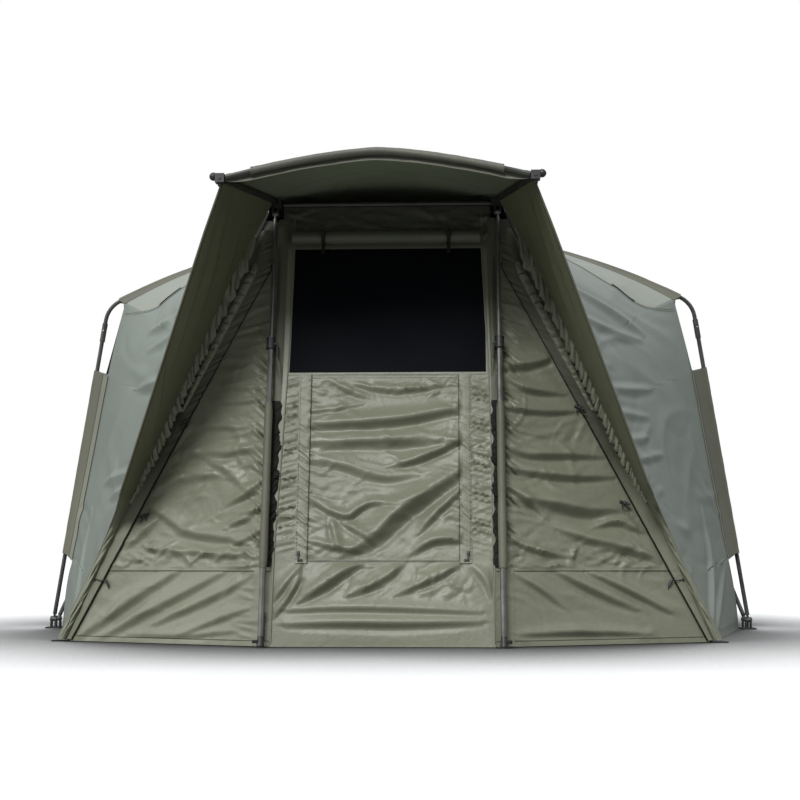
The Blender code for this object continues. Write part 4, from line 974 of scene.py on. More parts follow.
RIGHT_FOLDS = (
    (((0.36, 0.852), (0.467, 0.864), (0.54, 0.896)), 0.011, 0.008),
    (((0.35, 0.83), (0.437, 0.781), (0.56, 0.773)), 0.009, 0.007),
    (((0.35, 0.727), (0.483, 0.711), (0.60, 0.720)), 0.009, 0.007),
    (((0.35, 0.62), (0.432, 0.572), (0.527, 0.579), (0.68, 0.577)), 0.011, 0.008),
    (((0.35, 0.535), (0.478, 0.517), (0.573, 0.509), (0.71, 0.513)), 0.011, 0.009),
    (((0.37, 0.440), (0.523, 0.424), (0.618, 0.402), (0.74, 0.410)), 0.017, 0.013),
    (((0.54, 0.345), (0.663, 0.305), (0.759, 0.287), (0.86, 0.250)), 0.013, 0.010),
    (((0.37, 0.318), (0.472, 0.278), (0.57, 0.265)), 0.009, 0.007),
    (((0.65, 0.355), (0.714, 0.380), (0.79, 0.345)), 0.011, 0.008),
    (((0.36, 0.485), (0.429, 0.441), (0.49, 0.385)), 0.008, 0.006),
    (((0.62, 0.220), (0.754, 0.158), (0.88, 0.095)), 0.009, 0.008),
    (((0.52, 0.222), (0.657, 0.150), (0.77, 0.105)), 0.011, 0.008),
    (((0.40, 0.210), (0.470, 0.170), (0.54, 0.115)), 0.009, 0.006),
    (((0.40, 0.035), (0.605, 0.040), (0.80, 0.030)), 0.009, 0.006),
)
LEFT_FOLDS = (
    (((0.53, 0.802), (0.421, 0.791), (0.35, 0.800)), 0.008, 0.006),
    (((0.56, 0.755), (0.459, 0.747), (0.35, 0.757)), 0.008, 0.006),
    (((0.65, 0.668), (0.537, 0.675), (0.42, 0.660)), 0.009, 0.006),
    (((0.72, 0.570), (0.584, 0.591), (0.453, 0.586), (0.35, 0.604)), 0.012, 0.007),
    (((0.75, 0.468), (0.622, 0.515), (0.51, 0.523)), 0.015, 0.009),
    (((0.78, 0.440), (0.688, 0.384), (0.623, 0.336), (0.522, 0.326), (0.42, 0.303)), 0.013, 0.011),
    (((0.50, 0.415), (0.409, 0.463), (0.35, 0.520)), 0.011, 0.009),
    (((0.50, 0.345), (0.406, 0.389), (0.35, 0.445)), 0.010, 0.009),
    (((0.46, 0.300), (0.384, 0.334), (0.35, 0.370)), 0.008, 0.007),
    (((0.74, 0.293), (0.610, 0.280), (0.519, 0.271), (0.40, 0.264)), 0.009, 0.008),
    (((0.83, 0.290), (0.749, 0.356), (0.71, 0.395)), 0.011, 0.008),
    (((0.59, 0.582), (0.491, 0.531), (0.42, 0.462)), 0.011, 0.007),
    (((0.98, 0.010), (0.859, 0.084), (0.758, 0.151), (0.64, 0.222)), 0.013, 0.010),
    (((0.88, 0.020), (0.734, 0.096), (0.614, 0.152), (0.49, 0.218)), 0.013, 0.010),
    (((0.71, 0.060), (0.582, 0.116), (0.475, 0.162), (0.41, 0.200)), 0.011, 0.008),
    (((0.62, 0.030), (0.510, 0.072), (0.41, 0.108)), 0.009, 0.007),
    (((0.80, 0.025), (0.626, 0.022), (0.43, 0.045)), 0.008, 0.005),
)
SIDE_FOLDS = {"left": LEFT_FOLDS, "right": RIGHT_FOLDS}


def zip_at_height(z):
    """Point on the zip line at a height."""
    share = ramp(z - ZIP_TOP[2], ZIP_FOOT[2] - ZIP_TOP[2])
    return zip_point(share)


def cover_x(z):
    """Distance of the zip cover's inner edge from the middle, at a height."""
    return COVER_FOOT - COVER_SLOPE_SHARE * z


def side_height(x, z, side):
    """Relief of a side panel, over its distance from the middle and the height."""
    seed = 40 if side == "left" else 50
    slant = -0.9 if side == "left" else 0.8
    edge = cover_x(z)
    loose = drawn(x, z, SIDE_FOLDS[side]) * SIDE_FOLD_SHARES[side]
    beside = np.exp(-((x - PATCH_X) / 0.036) ** 2) * ramp(z - 0.24, 0.05) * ramp(1.10 - z, 0.2)
    loose += gathers(z, x, 2 if side == "left" else 5, 0.025, 0.0185, slant) * beside
    loose += gathers(z, x, 7, 0.045, 0.0080, 0.1) * np.exp(-((x - 0.42) / 0.07) ** 2) * (z > SKIRT_SEAM)
    loose += crinkles(x, z, seed + 1, 80, (0.40, 0.85, 0.24, 0.70), 0.050, 0.009, 0.005, 0.1, 0.5)
    loose += crinkles(x, z, seed + 2, 60, (0.38, 0.90, 0.23, 0.30), 0.030, 0.007, 0.008, 0.1, 0.5)
    loose += crinkles(x, z, seed + 3, 30, (0.38, 0.95, 0.02, 0.20), 0.060, 0.010, 0.004, -0.5, 0.3)
    loose += crinkles(x, z, seed + 4, 30, (0.34, 0.60, 0.80, 1.25), 0.050, 0.010, 0.005, -0.3, 0.5)
    tab = np.exp(-((x - 0.41) / 0.03) ** 2) * ramp(0.19 - z, 0.03) * (side == "left")
    loose += gathers(z, x, 9, 0.030, 0.0060, -0.2) * tab
    loose *= 0.2 + 0.8 * pinch(z, SKIRT_SEAM, 0.006)
    loose *= pinch(np.minimum(z, 0.06), HEM, 0.010)
    loose *= ramp(x - SEAM_HALF, 0.008) * ramp(edge + 0.004 - x, 0.02)
    return loose * ramp(1.34 - z, 0.08)


def side_plane(x, z):
    """Points of a side panel without relief, and their shares of the way to the zip."""
    root = zip_at_height(z)
    share = ramp(x - SEAM_HALF, root[..., 0] - SEAM_HALF)
    return np.stack((x, panel_y(z) + (root[..., 1] - panel_y(z)) * share, z), axis=-1), share


def side_at(side):
    """Surface of a side panel, over the distance from the middle and the height."""
    def surface(x, z, lift=0.0):
        """Points of the panel at the places and heights, with its relief."""
        x, z = np.broadcast_arrays(x, z)
        plane, share = side_plane(x, z)
        forward = unit(np.stack((0.25 * share, -np.ones_like(x), np.full_like(x, -POLE_SLOPE)), axis=-1))
        return plane + forward * (side_height(x, z, side) + lift)[..., None]
    return surface


def side_grid(step):
    """Places and heights over a side panel, from the pole's seam to the zip."""
    zs = spans([HEM, SKIRT_SEAM, 1.345], step)
    count = math.ceil((ZIP_FOOT[0] - SEAM_HALF) / step)
    shares = np.linspace(0, 1, count)
    outer = zip_at_height(zs)[:, 0] - ZIP_R
    inner = SEAM_HALF + 2 * CLEAR
    x = inner + (outer - inner)[:, None] * shares
    return x, np.broadcast_to(zs[:, None], x.shape)


def front_side(side):
    """Side panel of the front, with its seams and fittings."""
    sign = SIGNS[side]
    surface = side_at(side)
    x, z = side_grid(GRID)
    panel = Shape().grid(surface(x, z), sign).piece(
        "front_side_" + side, FRONT, "front_olive", ["front_panel_" + side])
    declare(side_plane(x, z)[0])
    side_seams(side)
    pole_fittings(side)


def side_seams(side):
    """Skirt seam and hem of a side panel, with their stitching."""
    sign = SIGNS[side]
    surface = side_at(side)
    trim = Shape()
    lines = Shape()
    start = SEAM_HALF + 0.004
    end = zip_at_height(SKIRT_SEAM)[0] - 0.012
    trim.grid(band(surface, [(start, SKIRT_SEAM), (end, SKIRT_SEAM)], 0.010, SEAM_LIFT), sign)
    lines.grid(band(surface, [(start, SKIRT_SEAM - 0.005), (end, SKIRT_SEAM - 0.005)], 0.0028, 0.0022), sign)
    start = SEAM_HALF + 0.002
    end = zip_at_height(0.01)[0] - 0.01
    trim.grid(band(surface, [(start, 0.009), (end, 0.009)], 0.014, SEAM_LIFT), sign)
    lines.grid(band(surface, [(start, 0.018), (end - 0.006, 0.018)], 0.0018, 0.0020), sign)
    trim.piece("skirt_seam_" + side, FRONT, "front_olive")
    lines.piece("skirt_stitching_" + side, STITCH, "front_olive", thickness=CLOTH / 2)


def pole_fittings(side):
    """Patch and peg ladder on the skirt beside the pole."""
    sign = SIGNS[side]
    surface = side_at(side)
    patch = band(surface, [(PATCH_X, 0.004), (PATCH_X, SKIRT_SEAM)], 0.036, 0.0026, 0.006, 7)
    Shape().grid(patch, sign).piece("pole_patch_" + side, FRONT, "front_olive")
    ladder = Shape()
    ladder.grid(band(surface, [(LADDER_X, 0.02), (LADDER_X, 0.105)], 0.010, 0.0045), sign)
    for i in range(LADDER_STEPS):
        place = surface(LADDER_X, 0.026 + LADDER_PITCH * i, 0.0060)
        ladder.block((0.014, 0.0016, 0.004), place, side=sign, bevel=0.0006)
    ladder.piece("peg_ladder_" + side, WEB, "zip_black", thickness=WEBBING)


def pole_margin(side):
    """Slack strip beside a pole, from the dark gap up to the hub."""
    sign = SIGNS[side]
    zs = np.linspace(MARGIN_LOW, MARGIN_HIGH, 150)
    shares = np.linspace(0, 1, 9)
    start = (piping_x(zs, sign) * 0.5 + 0.168)[:, None]
    x = start + (MARGIN_OUTER - start) * shares
    z = np.broadcast_to(zs[:, None], x.shape)
    slack = 0.006 * np.sin(math.pi * shares) * np.sin(math.pi * (zs - zs[0]) / (zs[-1] - zs[0]))[:, None]
    relief = slack + drawn(x, z, MARGIN_FOLDS, crest) * np.sin(math.pi * shares) ** 0.5
    plane = centre_plane(x, z) - (0, 0.0030, 0)
    grid = plane - np.array((0, 1, 0)) * relief[..., None]
    # The margin's darker cloth is painted shade beside the pole.
    margin = Shape().grid(grid, sign).piece("pole_margin_" + side, MARGIN, "front_olive")
    declare(plane)


def pole_recess(side):
    """Near-black gathered sheet between the middle and a side panel, behind the pole: painted shade of the
    gap there.
    """
    sign = SIGNS[side]
    zs = np.linspace(RECESS_LOW, RECESS_HIGH, 130)
    shares = np.linspace(0, 1, 7)
    wave = 0.004 * np.sin(zs * 61 + sign) + 0.003 * np.sin(zs * 143)
    start = (np.maximum(piping_x(zs, sign) + 0.004, 0.323) + wave)[:, None]
    x = start + (RECESS_OUTER - start) * shares[None, :]
    z = zs[:, None] + 0 * x
    ripple = gathers(z, x, 5 + sign, 0.026, 0.0095, 0.9) + gathers(z, x, 9 + sign, 0.013, 0.004, -0.7)
    edge = np.sin(math.pi * (zs - zs[0]) / (zs[-1] - zs[0]))[:, None] ** 0.3
    y = panel_y(z) - 0.0035 - 0.004 * np.sin(math.pi * shares)[None, :] * edge - ripple * edge
    grid = np.stack((x, y, z), axis=-1)
    recess = Shape().grid(grid, sign).piece("pole_recess_" + side, DARK, "zip_black")
    declare(grid)


def pole_sleeve(side):
    """Open cloth tube round the upper part of a pole's lower tube."""
    sign = SIGNS[side]
    path = np.array([pole_point(h) for h in np.linspace(POLE_SLEEVE_HIGH, POLE_SLEEVE_LOW, 90)])
    run = np.linspace(0, 1, len(path))
    hems = np.exp(-(run / 0.03) ** 2) + np.exp(-((1 - run) / 0.03) ** 2)
    radius = POLE_SLEEVE_R + 0.0005 * lumps(80 + sign, len(path), 5) - 0.0018 * hems
    sleeve = Shape().tube(path, radius, 20, sign, ends=False).piece(
        "pole_sleeve_" + side, SLEEVE, "front_olive", body="pole_bottom_" + side)


# Zip lines, storm flaps and wings

HUB_FRONT = -HUB_FORWARD - 0.012
ARM_START = np.array((HUB_HALF, HUB_FRONT, HUB_HEIGHT))
ARM_END = np.array((BROW_HALF, -BROW_FORWARD, BROW_HEIGHT))
BAR_END = np.array((HUB_HALF + BAR_SPREAD, -0.012, HUB_HEIGHT + 0.048))
ZIP_RUN = unit(ZIP_FOOT - ZIP_TOP)
ZIP_FORWARD = unit(np.cross(ZIP_RUN, (0, 0, 1)))
ZIP_TURN = Matrix((unit(np.cross(ZIP_RUN, ZIP_FORWARD)), ZIP_RUN, ZIP_FORWARD)).transposed().to_4x4()
WING_OUT = np.array((-0.88, -0.25, 0.35))
BAND_OUT = np.array((-0.35, -0.9, 0.2))
BAND_BACK = np.array((0.20, 1, 0))
COVER_FORWARD = np.array((0, -1, 0.17))
RUFFLE_INWARD = unit(np.array((-0.90, -0.26, -0.40)))


def zip_tape(side):
    """Tape of a long zip, from its teeth inwards over the front."""
    axis = zip_point(np.linspace(0.0, 1.0, 120)) + ZIP_FORWARD * 0.002
    into = unit(np.array((-1.0, -0.15, -0.35)))
    into = unit(into - ZIP_RUN * (into @ ZIP_RUN))
    tape = np.stack([axis + into * w for w in TAPE_EDGES], axis=1)
    Shape().grid(tape, SIGNS[side]).piece("front_zip_tape_" + side, WEB, "zip_black", thickness=WEBBING)


def zip_chain(side):
    """Coil of a long zip with its row of teeth."""
    sign = SIGNS[side]
    chain = Shape()
    chain.tube(zip_point(np.linspace(0.005, 0.995, 60)), CHAIN_R, 8, sign)
    for i in range(int(np.linalg.norm(ZIP_FOOT - ZIP_TOP) / CHAIN_PITCH) - 3):
        place = ZIP_TOP + ZIP_RUN * (0.012 + CHAIN_PITCH * i) + ZIP_FORWARD * 0.0026
        chain.block(TOOTH, place, ZIP_TURN, 0.0006, sign)
    chain.piece("front_zip_chain_" + side, METAL, "zip_black", ["front_zip_" + side], thickness=0)


def zip_pull(side):
    """Slider of a long zip, with the corded pull that reaches out from under the zip cover."""
    sign = SIGNS[side]
    slider = Shape()
    centre = middle_of("zip_slider_" + side) * (sign, 1, 1)
    bridge = centre + ZIP_FORWARD * 0.004
    slider.block((0.010, 0.020, 0.006), centre, ZIP_TURN, 0.0016, sign)
    slider.block((0.006, 0.010, 0.008), bridge, ZIP_TURN, 0.0016, sign)
    tip = side_at(side)(cover_x(centre[2]) - 0.012, centre[2] - 0.004, 0.009)
    slider.tube([bridge, mix(centre, tip, 0.5) + (0, -0.008, 0), tip], 0.0017, 8, sign)
    slider.tube([tip + (0.002, 0, 0.003), tip + (-0.008, -0.002, -0.016)], 0.0042, 10, sign)
    slider.tube([tip + (-0.008, -0.002, -0.014), tip + (-0.010, -0.001, -0.026)], 0.0020, 8, sign)
    slider.piece(
        "zip_pull_" + side, PLASTIC, "slider_metal", ["zip_slider_" + side], body="zip_runner_" + side,
        thickness=0)


def cover_edges(z):
    """Distances of the wing's root and of the zip cover's inner edge from the middle, at a height."""
    root = zip_at_height(z)
    inner = np.maximum(np.minimum(cover_x(z), root[..., 0] - 0.008), HUB_HALF + 0.012)
    return root[..., 0], inner


def cover_grid(side):
    """Zip cover between its inner edge and the wing's root, with its heights."""
    surface = side_at(side)
    seed = 3 if side == "left" else 1
    zs = np.linspace(0.006, 1.31, 330)
    root, inner = cover_edges(zs)
    shares = np.linspace(0, 1, 19)
    x = inner[:, None] + (root - inner)[:, None] * shares
    z = np.broadcast_to(zs[:, None], x.shape)
    upper = ramp(z - 0.46, 0.26)
    near = x - inner[:, None]
    gather = gathers(z, x, seed, 0.022, 0.006, 0.55) * np.exp(-(near / 0.030) ** 2) * upper
    valley = 0.012 * np.exp(-((shares - 0.70) / 0.20) ** 2)[None, :] * upper
    body = 0.0045 + 0.011 * np.sin(math.pi * np.clip(shares * 0.62, 0, 1))[None, :] * (0.35 + 0.65 * upper)
    soft = crinkles(x, z, 95 + seed, 34, (0.4, 1.0, 0.02, 0.6), 0.05, 0.009, 0.0045, -1.0, 0.4)
    soft *= np.sin(math.pi * shares)[None, :]
    lift = np.maximum(body + gather - valley + soft, 0.0022)
    return surface(x, z, 0) + COVER_FORWARD * lift[..., None], zs


def zip_cover(side):
    """Storm flap that lies over the zip, with its bound inner edge."""
    sign = SIGNS[side]
    grid, zs = cover_grid(side)
    cover = Shape().grid(grid, sign).piece("zip_cover_" + side, COVER, "front_olive")
    declare(grid[:, [0, -1]])
    line = (grid[:, 0] + (0, -0.0012, 0))[zs < 1.2]
    radius = np.interp(zs[zs < 1.2], (0.60, 0.90), (0.0026, 0.0013))
    Shape().tube(line, radius, 8, sign).piece("zip_cover_edge_" + side, DARK, "zip_black", thickness=0)


def pillows(run, across, pitch, slant, seed):
    """Share of the full height in a row of uneven pillows, for lengths along a seam and across it."""
    steps = np.diff(run) / ((pitch[1:] + pitch[:-1]) / 2)
    turn = 2 * math.pi * np.concatenate(([0.0], np.cumsum(steps)))[:, None]
    turn = turn + 2 * math.pi * (slant / pitch)[:, None] * across
    turn = turn + 0.8 * np.sin(0.37 * turn + seed) + 0.5 * np.sin(0.91 * turn + 2 * seed)
    size = 0.68 + 0.22 * np.sin(0.29 * turn + 1.3 * seed) + 0.10 * np.sin(0.61 * turn + 3.1 * seed)
    creases = 0.10 * np.sin(1.63 * turn + 90 * across) + 0.07 * np.sin(2.9 * turn - 60 * across + seed)
    return size * np.abs(np.sin(turn / 2)) ** 0.75 + creases


def wing_ruffle(side):
    """Elasticated ruffle that fills the corner between the zip cover and the wing's root."""
    shares = np.linspace(RUFFLE_START_SHARE, RUFFLE_END_SHARE, 520)
    run = marks_of(zip_point(shares))
    along = run / run[-1]
    base = zip_point(shares) + COVER_FORWARD * RUFFLE_BASE
    toward = unit(wing_edge(shares) - zip_point(shares))
    reach = np.interp(along, (0, 0.08, 0.35, 0.8, 1), (0.016, 0.044, 0.036, 0.032, 0.012))
    pitch = np.interp(along, (0, 0.3, 0.5, 1), (0.058, 0.050, 0.030, 0.026))
    slant = np.interp(along, (0, 0.4, 0.6), (1.9, 1.4, 0.9))
    turns = np.radians(np.linspace(-4, 100, 17))
    across = -reach[:, None] * np.cos(turns)
    swell = 0.50 + 0.50 * pillows(run, across, pitch, slant, 2 if side == "left" else 6)
    radius = reach[:, None] * swell
    grid = base[:, None] + (radius * np.cos(turns))[..., None] * RUFFLE_INWARD
    grid = grid + (0.62 * radius * np.sin(turns))[..., None] * toward[:, None]
    flap = Shape().grid(grid, SIGNS[side]).piece("wing_ruffle_" + side, RUFFLE, "wing_olive")
    declare(grid)


def cover_ruffle(side):
    """Gathers of the zip cover's upper part, over an elastic between its two edges."""
    grid, zs = cover_grid(side)
    rows = np.where((zs > COVER_RUFFLE_LOW) & (zs < COVER_RUFFLE_HIGH))[0][::-1]
    line = resample(grid[rows, 9], 0.0024)
    inner = resample(grid[rows, 4], 0.0024)
    inner = at(inner, np.linspace(0, marks_of(inner)[-1], len(line)))
    outer = at(grid[rows, 14], np.linspace(0, marks_of(grid[rows, 14])[-1], len(line)))
    run = marks_of(line)
    along = run / run[-1]
    sideways = unit(outer - inner)
    half = np.interp(along, (0, 0.1, 0.6, 1), (0.008, 0.017, 0.015, 0.006))
    pitch = np.interp(along, (0, 1), (0.036, 0.030))
    turns = np.radians(np.linspace(-95, 95, 15))
    across = half[:, None] * np.sin(turns)
    swell = 0.30 + 0.70 * pillows(run, across, pitch, np.full(len(run), 0.15), 4 if side == "left" else 9)
    fade = np.interp(along, (0, 0.1, 0.85, 1), (0.2, 1, 1, 0.1))
    lift = COVER_RUFFLE_RISE * fade[:, None] * swell * np.cos(turns)
    points = line[:, None] + across[..., None] * sideways[:, None] + lift[..., None] * COVER_FORWARD
    ruffle = Shape().grid(points, SIGNS[side]).piece("cover_ruffle_" + side, RUFFLE, "front_olive")
    declare(points)


WING_FOLDS = (
    (((0.47, 0.02), (0.40, 0.25), (0.36, 0.55)), 0.030, 0.008),
    (((0.40, 0.02), (0.28, 0.22), (0.22, 0.45)), 0.028, 0.007),
    (((0.20, 0.03), (0.12, 0.18), (0.10, 0.35)), 0.022, 0.005),
    (((0.47, 0.55), (0.30, 0.75), (0.16, 0.86)), 0.020, 0.005),
)


def wing_rows(share):
    """Zip edge and free edge of a wing at shares from its top to the ground."""
    share = np.asarray(share, float)
    arm = unit(ARM_END - ARM_START)
    below = np.array((0.15, 0, -1.0))
    below = unit(below - arm * (below @ arm)) * (TUBE_R + 2 * CLEAR)
    late = np.maximum(share, WING_FIRST_SHARE)
    blend = ramp(share, WING_FIRST_SHARE)
    edge = wing_edge(late)
    start = zip_point(late) + unit(edge - zip_point(late)) * (ZIP_R + CLEAR)
    return mix(ARM_START + arm * 0.03 + below, start, blend), mix(ARM_END - arm * 0.018 + below, edge, blend)


def wing_surface(share, across, lift=0.0):
    """Points of a wing, with its slack and its long folds."""
    share, across = np.broadcast_arrays(share, across)
    start, end = wing_rows(share)
    bow = np.sin(math.pi * share) * WING_BOW * np.sin(math.pi * across)
    folds = drawn(across * 0.5, share * 1.5, WING_FOLDS)
    folds *= ramp(across, 0.06) * ramp(1 - across, 0.04) * ramp(share, 0.04)
    folds *= ramp(0.95 - share, 0.2)
    return mix(start, end, across) + WING_OUT * (bow * 0.8 + folds + lift)[..., None]


def low_band_edge(share):
    """Zip edge and free edge below the wing's point, where the band lies back over the zip."""
    start, end = wing_rows(share)
    back = np.interp(share, (WING_END_SHARE, 0.70, 0.74, 0.80, 1), (0, 0.034, 0.060, 0.055, 0.038))
    return start, end + BAND_BACK * back[..., None]


def wing(side):
    """Wing from the arm to its point, with its bound and stitched edge."""
    sign = SIGNS[side]
    s, a = np.meshgrid(np.linspace(0, WING_END_SHARE, 190), np.linspace(0, 1, 44), indexing="ij")
    grid = wing_surface(s, a)
    cloth = Shape().grid(grid, sign).piece("wing_cloth_" + side, WING, "wing_olive", ["hood_wing_" + side])
    declare(grid)
    Shape().tube(resample(grid[:, -1], 0.01), 0.0030, 10, sign).piece(
        "wing_binding_" + side, SLEEVE, "wing_olive", thickness=0)
    rows = []
    for share in np.linspace(0.01, WING_END_SHARE - 0.01, 130):
        start, end = wing_rows(share)
        width = np.linalg.norm(end - start)
        rows.append([wing_surface(share, 1 - w / width, 0.0012) for w in (0.010, 0.0125)])
    Shape().grid(np.array(rows), sign).piece(
        "wing_stitching_" + side, STITCH, "wing_olive", thickness=CLOTH / 2)


def low_band(side):
    """Band from the wing's point down to the front corner, with its bound edge."""
    sign = SIGNS[side]
    s, a = np.meshgrid(np.linspace(WING_END_SHARE - 0.004, 1, 110), np.linspace(0, 1, 22), indexing="ij")
    start, end = low_band_edge(s)
    points = mix(start, end, a)
    soft = crinkles(a * 0.12, s * 1.5, 112 + sign, 44, (0.0, 0.12, 0.98, 1.5), 0.05, 0.010, 0.0075, 1.1, 0.3)
    soft *= np.sin(math.pi * a) ** 0.5 * ramp(1 - s, 0.02)
    grid = points + BAND_OUT * (soft + 0.012 * np.sin(math.pi * a))[..., None]
    cloth = Shape().grid(grid, sign).piece("zip_band_" + side, WING, "front_olive")
    declare(points)
    Shape().tube(resample(grid[:, -1], 0.01), 0.0022, 8, sign).piece(
        "zip_band_edge_" + side, TRIM, "front_olive", thickness=0)


def arm_cover(side):
    """Bound strip that closes the hood along the arm, round the hub and back along the tension bar."""
    rows = []
    lip = (0, 0, 0.0016)
    for row in roof_grid()[0][2:-2]:
        point = row[-1]
        if point[1] < ARM_START[1]:
            share = np.clip((point[1] - ARM_START[1]) / (ARM_END[1] - ARM_START[1]), 0, 0.975)
            core = mix(ARM_START, ARM_END, share)
        else:
            core = mix(ARM_START, BAR_END, (point[1] - ARM_START[1]) / (BAR_END[1] - ARM_START[1]))
        hub = math.exp(-((point[1] + HUB_FORWARD - 0.012) / 0.035) ** 2)
        line = rounded([
            row[-6] + lip, row[-3] + lip, point + lip, core + (0.0115 + 0.014 * hub, 0, 0.0125),
            core + (0.0150 + 0.014 * hub, 0, 0.002), core + (0.0145 + 0.014 * hub, 0, -0.010),
            core + (0.0125 + 0.013 * hub, 0, -0.022 - 0.02 * hub)])
        rows.append(at(line, np.linspace(0, marks_of(line)[-1], 15)))
    grid = np.array(rows)
    cover = Shape().grid(grid, SIGNS[side]).piece("arm_cover_" + side, HOOD, "hood_olive")
    declare(grid)


CLIP_PLACES = {"left": ((0.692, -0.008), (0.395, 0.026)), "right": ((0.730, 0.004), (0.430, 0.030))}


def zip_clips(side):
    """Small elastic toggles that hold the zip cover's edge."""
    sign = SIGNS[side]
    clips = Shape()
    surface = side_at(side)
    for z, inward in CLIP_PLACES[side]:
        spot = surface(cover_x(z) - inward, z, 0.010)
        clips.tube([spot + (-0.016, 0, 0.007), spot + (0.016, -0.003, -0.005)], 0.0042, 10, sign)
        clips.tube([spot, spot + (0.007, -0.005, -0.010), spot + (0.011, -0.001, -0.022)], 0.0020, 8, sign)
        clips.tube([spot, spot + (-0.010, -0.002, -0.009), spot + (-0.006, 0, -0.018)], 0.0018, 8, sign)
        clips.ball(spot + (0.0, -0.002, 0.0), 0.0062, side=sign)
    clips.piece("cover_clips_" + side, PLASTIC, "black_plastic", thickness=0)


# Hood

BROW_BACK = 0.0102
HOOD_FOLDS = (
    (((-0.42, 0.52), (-0.25, 0.42), (-0.05, 0.35)), 0.025, 0.006),
    (((0.42, 0.52), (0.25, 0.42), (0.08, 0.38)), 0.025, 0.006),
    (((-0.40, 0.56), (-0.28, 0.75), (-0.20, 1.0)), 0.025, 0.006),
    (((0.40, 0.56), (0.30, 0.78), (0.24, 1.0)), 0.025, 0.006),
)


def roof_grid():
    """Roof of the hood from the brow over the hubs to the main rib, with its shares across and back."""
    slope = (HUB_HEIGHT - BROW_HEIGHT) / (BROW_FORWARD + HUB_FRONT)
    lift = (TUBE_R + 0.0013) * math.hypot(1, slope)
    hub_share = (BROW_FORWARD + HUB_FRONT) / BROW_FORWARD
    u = np.linspace(-1, 1, 161)
    shares = np.linspace(0, 1, 150)
    brow_x = (BROW_HALF - CORNER_BLOCK / 2 - CLEAR) * u
    brow_z = brow_height(brow_x) + lift + slope * BROW_BACK
    front = np.stack((brow_x, np.full_like(u, -BROW_FORWARD + BROW_BACK), brow_z), -1)
    crown = ROOF_CROWN * (1 - u * u)
    middle = np.stack((HUB_HALF * u, np.full_like(u, HUB_FRONT), HUB_HEIGHT + lift + 0.004 + crown), -1)
    rib_x = (HUB_HALF + BAR_SPREAD) * u
    rib_z = np.interp(np.abs(rib_x), MAIN_PATH[::-1, 0], MAIN_PATH[::-1, 2])
    back = np.stack((rib_x, np.full_like(u, -0.0102), rib_z), -1)
    rows = []
    for share in shares:
        if share < hub_share:
            rows.append(mix(front, middle, share / hub_share))
        else:
            rows.append(mix(middle, back, (share - hub_share) / (1 - hub_share)))
    grid = np.array(rows)
    soft = grid.copy()
    for _ in range(60):
        soft[1:-1] = (soft[:-2] + 2 * soft[1:-1] + soft[2:]) / 4
    soft[:, 0], soft[:, -1] = grid[:, 0], grid[:, -1]
    return grid + (soft - grid) * ramp(1 - np.abs(u), 0.1)[None, :, None], u, shares


def hood():
    """Roof cloth with its lining, and the seams along its sides and over the hubs."""
    grid, u, shares = roof_grid()
    s, t = np.meshgrid(u * 0.45, shares * 1.48)
    loose = crinkles(s, t, 120, 40, (-0.42, 0.42, 0.05, 1.4), 0.10, 0.016, 0.004, 1.5, 0.5)
    loose += drawn(s, t, HOOD_FOLDS)
    loose *= ramp(1 - np.abs(u), 0.06)[None, :]
    loose *= (ramp(shares, 0.03) * ramp(1 - shares, 0.03))[:, None]
    full = lifted(grid, loose)
    roof = Shape().grid(full).piece("hood_roof_cloth", HOOD, "hood_olive", ["hood_roof"], lining=LINING)
    declare(grid)
    seams = Shape()
    for edge, inner in ((0, 3), (-1, -4)):
        line = full[:, edge] + (0, 0, 0.0012)
        across = unit(full[:, inner] - full[:, edge])
        seams.grid(np.stack([line + across * w for w in (0.0, 0.007, 0.014)], axis=1))
    line = full[int(len(shares) * 0.372)]
    seams.grid(np.stack([line + (0, w, 0.0012) for w in (-0.006, 0, 0.006)], axis=1))
    seams.piece("hood_seams", SLEEVE, "hood_olive")


def brow_pocket():
    """Pocket round the brow bar."""
    turns = np.linspace(0, 2 * math.pi, 24, endpoint=False)
    x = np.linspace(-BROW_SLEEVE_HALF, BROW_SLEEVE_HALF, 180)[:, None]
    uneven = lumps(130, len(x), 9)[:, None]
    radius = 0.0108 + 0.0009 * uneven + 0.0012 * np.sin(3 * turns + 9 * x) * 0.3
    y = -BROW_FORWARD + radius * np.sin(turns)
    z = brow_height(x) + radius * np.cos(turns)
    grid = np.stack((np.broadcast_to(x, y.shape), y, z), axis=-1)
    pocket = Shape().grid(grid, wrap=True).piece("brow_pocket", BROW, "hood_olive", ["brow_sleeve"])
    declare(grid)


def brow_band():
    """Band that hangs from the brow bar, with its piping."""
    half = BROW_HALF - CORNER_BLOCK / 2 - 0.002
    x = np.linspace(-half, half, 200)
    near = ramp(half - np.abs(x), 0.06) ** 0.6
    sway = 0.0012 * np.sin(37 * x) + 0.0008 * np.sin(91 * x + 1)
    back = -BROW_FORWARD + BROW_BACK
    axis_z = brow_height(x)
    columns = (
        (back + 0 * x, axis_z + 0.006), (back + 0.0010 + 0 * x, axis_z - 0.004),
        (back - 0.0002 + sway * 0.5, axis_z - 0.006 - 0.009 * near),
        (back - 0.0032 + sway, axis_z - 0.007 - 0.017 * near))
    grid = np.stack([np.stack((x, y, z), axis=-1) for y, z in columns], axis=1)
    cloth = Shape().grid(grid).piece("brow_band", BROW, "hood_olive")
    declare(grid)
    Shape().tube(grid[:, -1], 0.0015, 8).piece("brow_piping", TRIM, "hood_olive", thickness=0)


def pocket_ends():
    """Hems at both ends of the brow's pocket."""
    ends = Shape()
    for sign in SIGNS.values():
        x = sign * BROW_SLEEVE_HALF
        ends.tube([(x + w, -BROW_FORWARD, brow_height(x)) for w in (-0.003, 0.003)], 0.0124, 20)
    ends.piece("brow_pocket_ends", BROW, "hood_olive", thickness=0)


# Skins

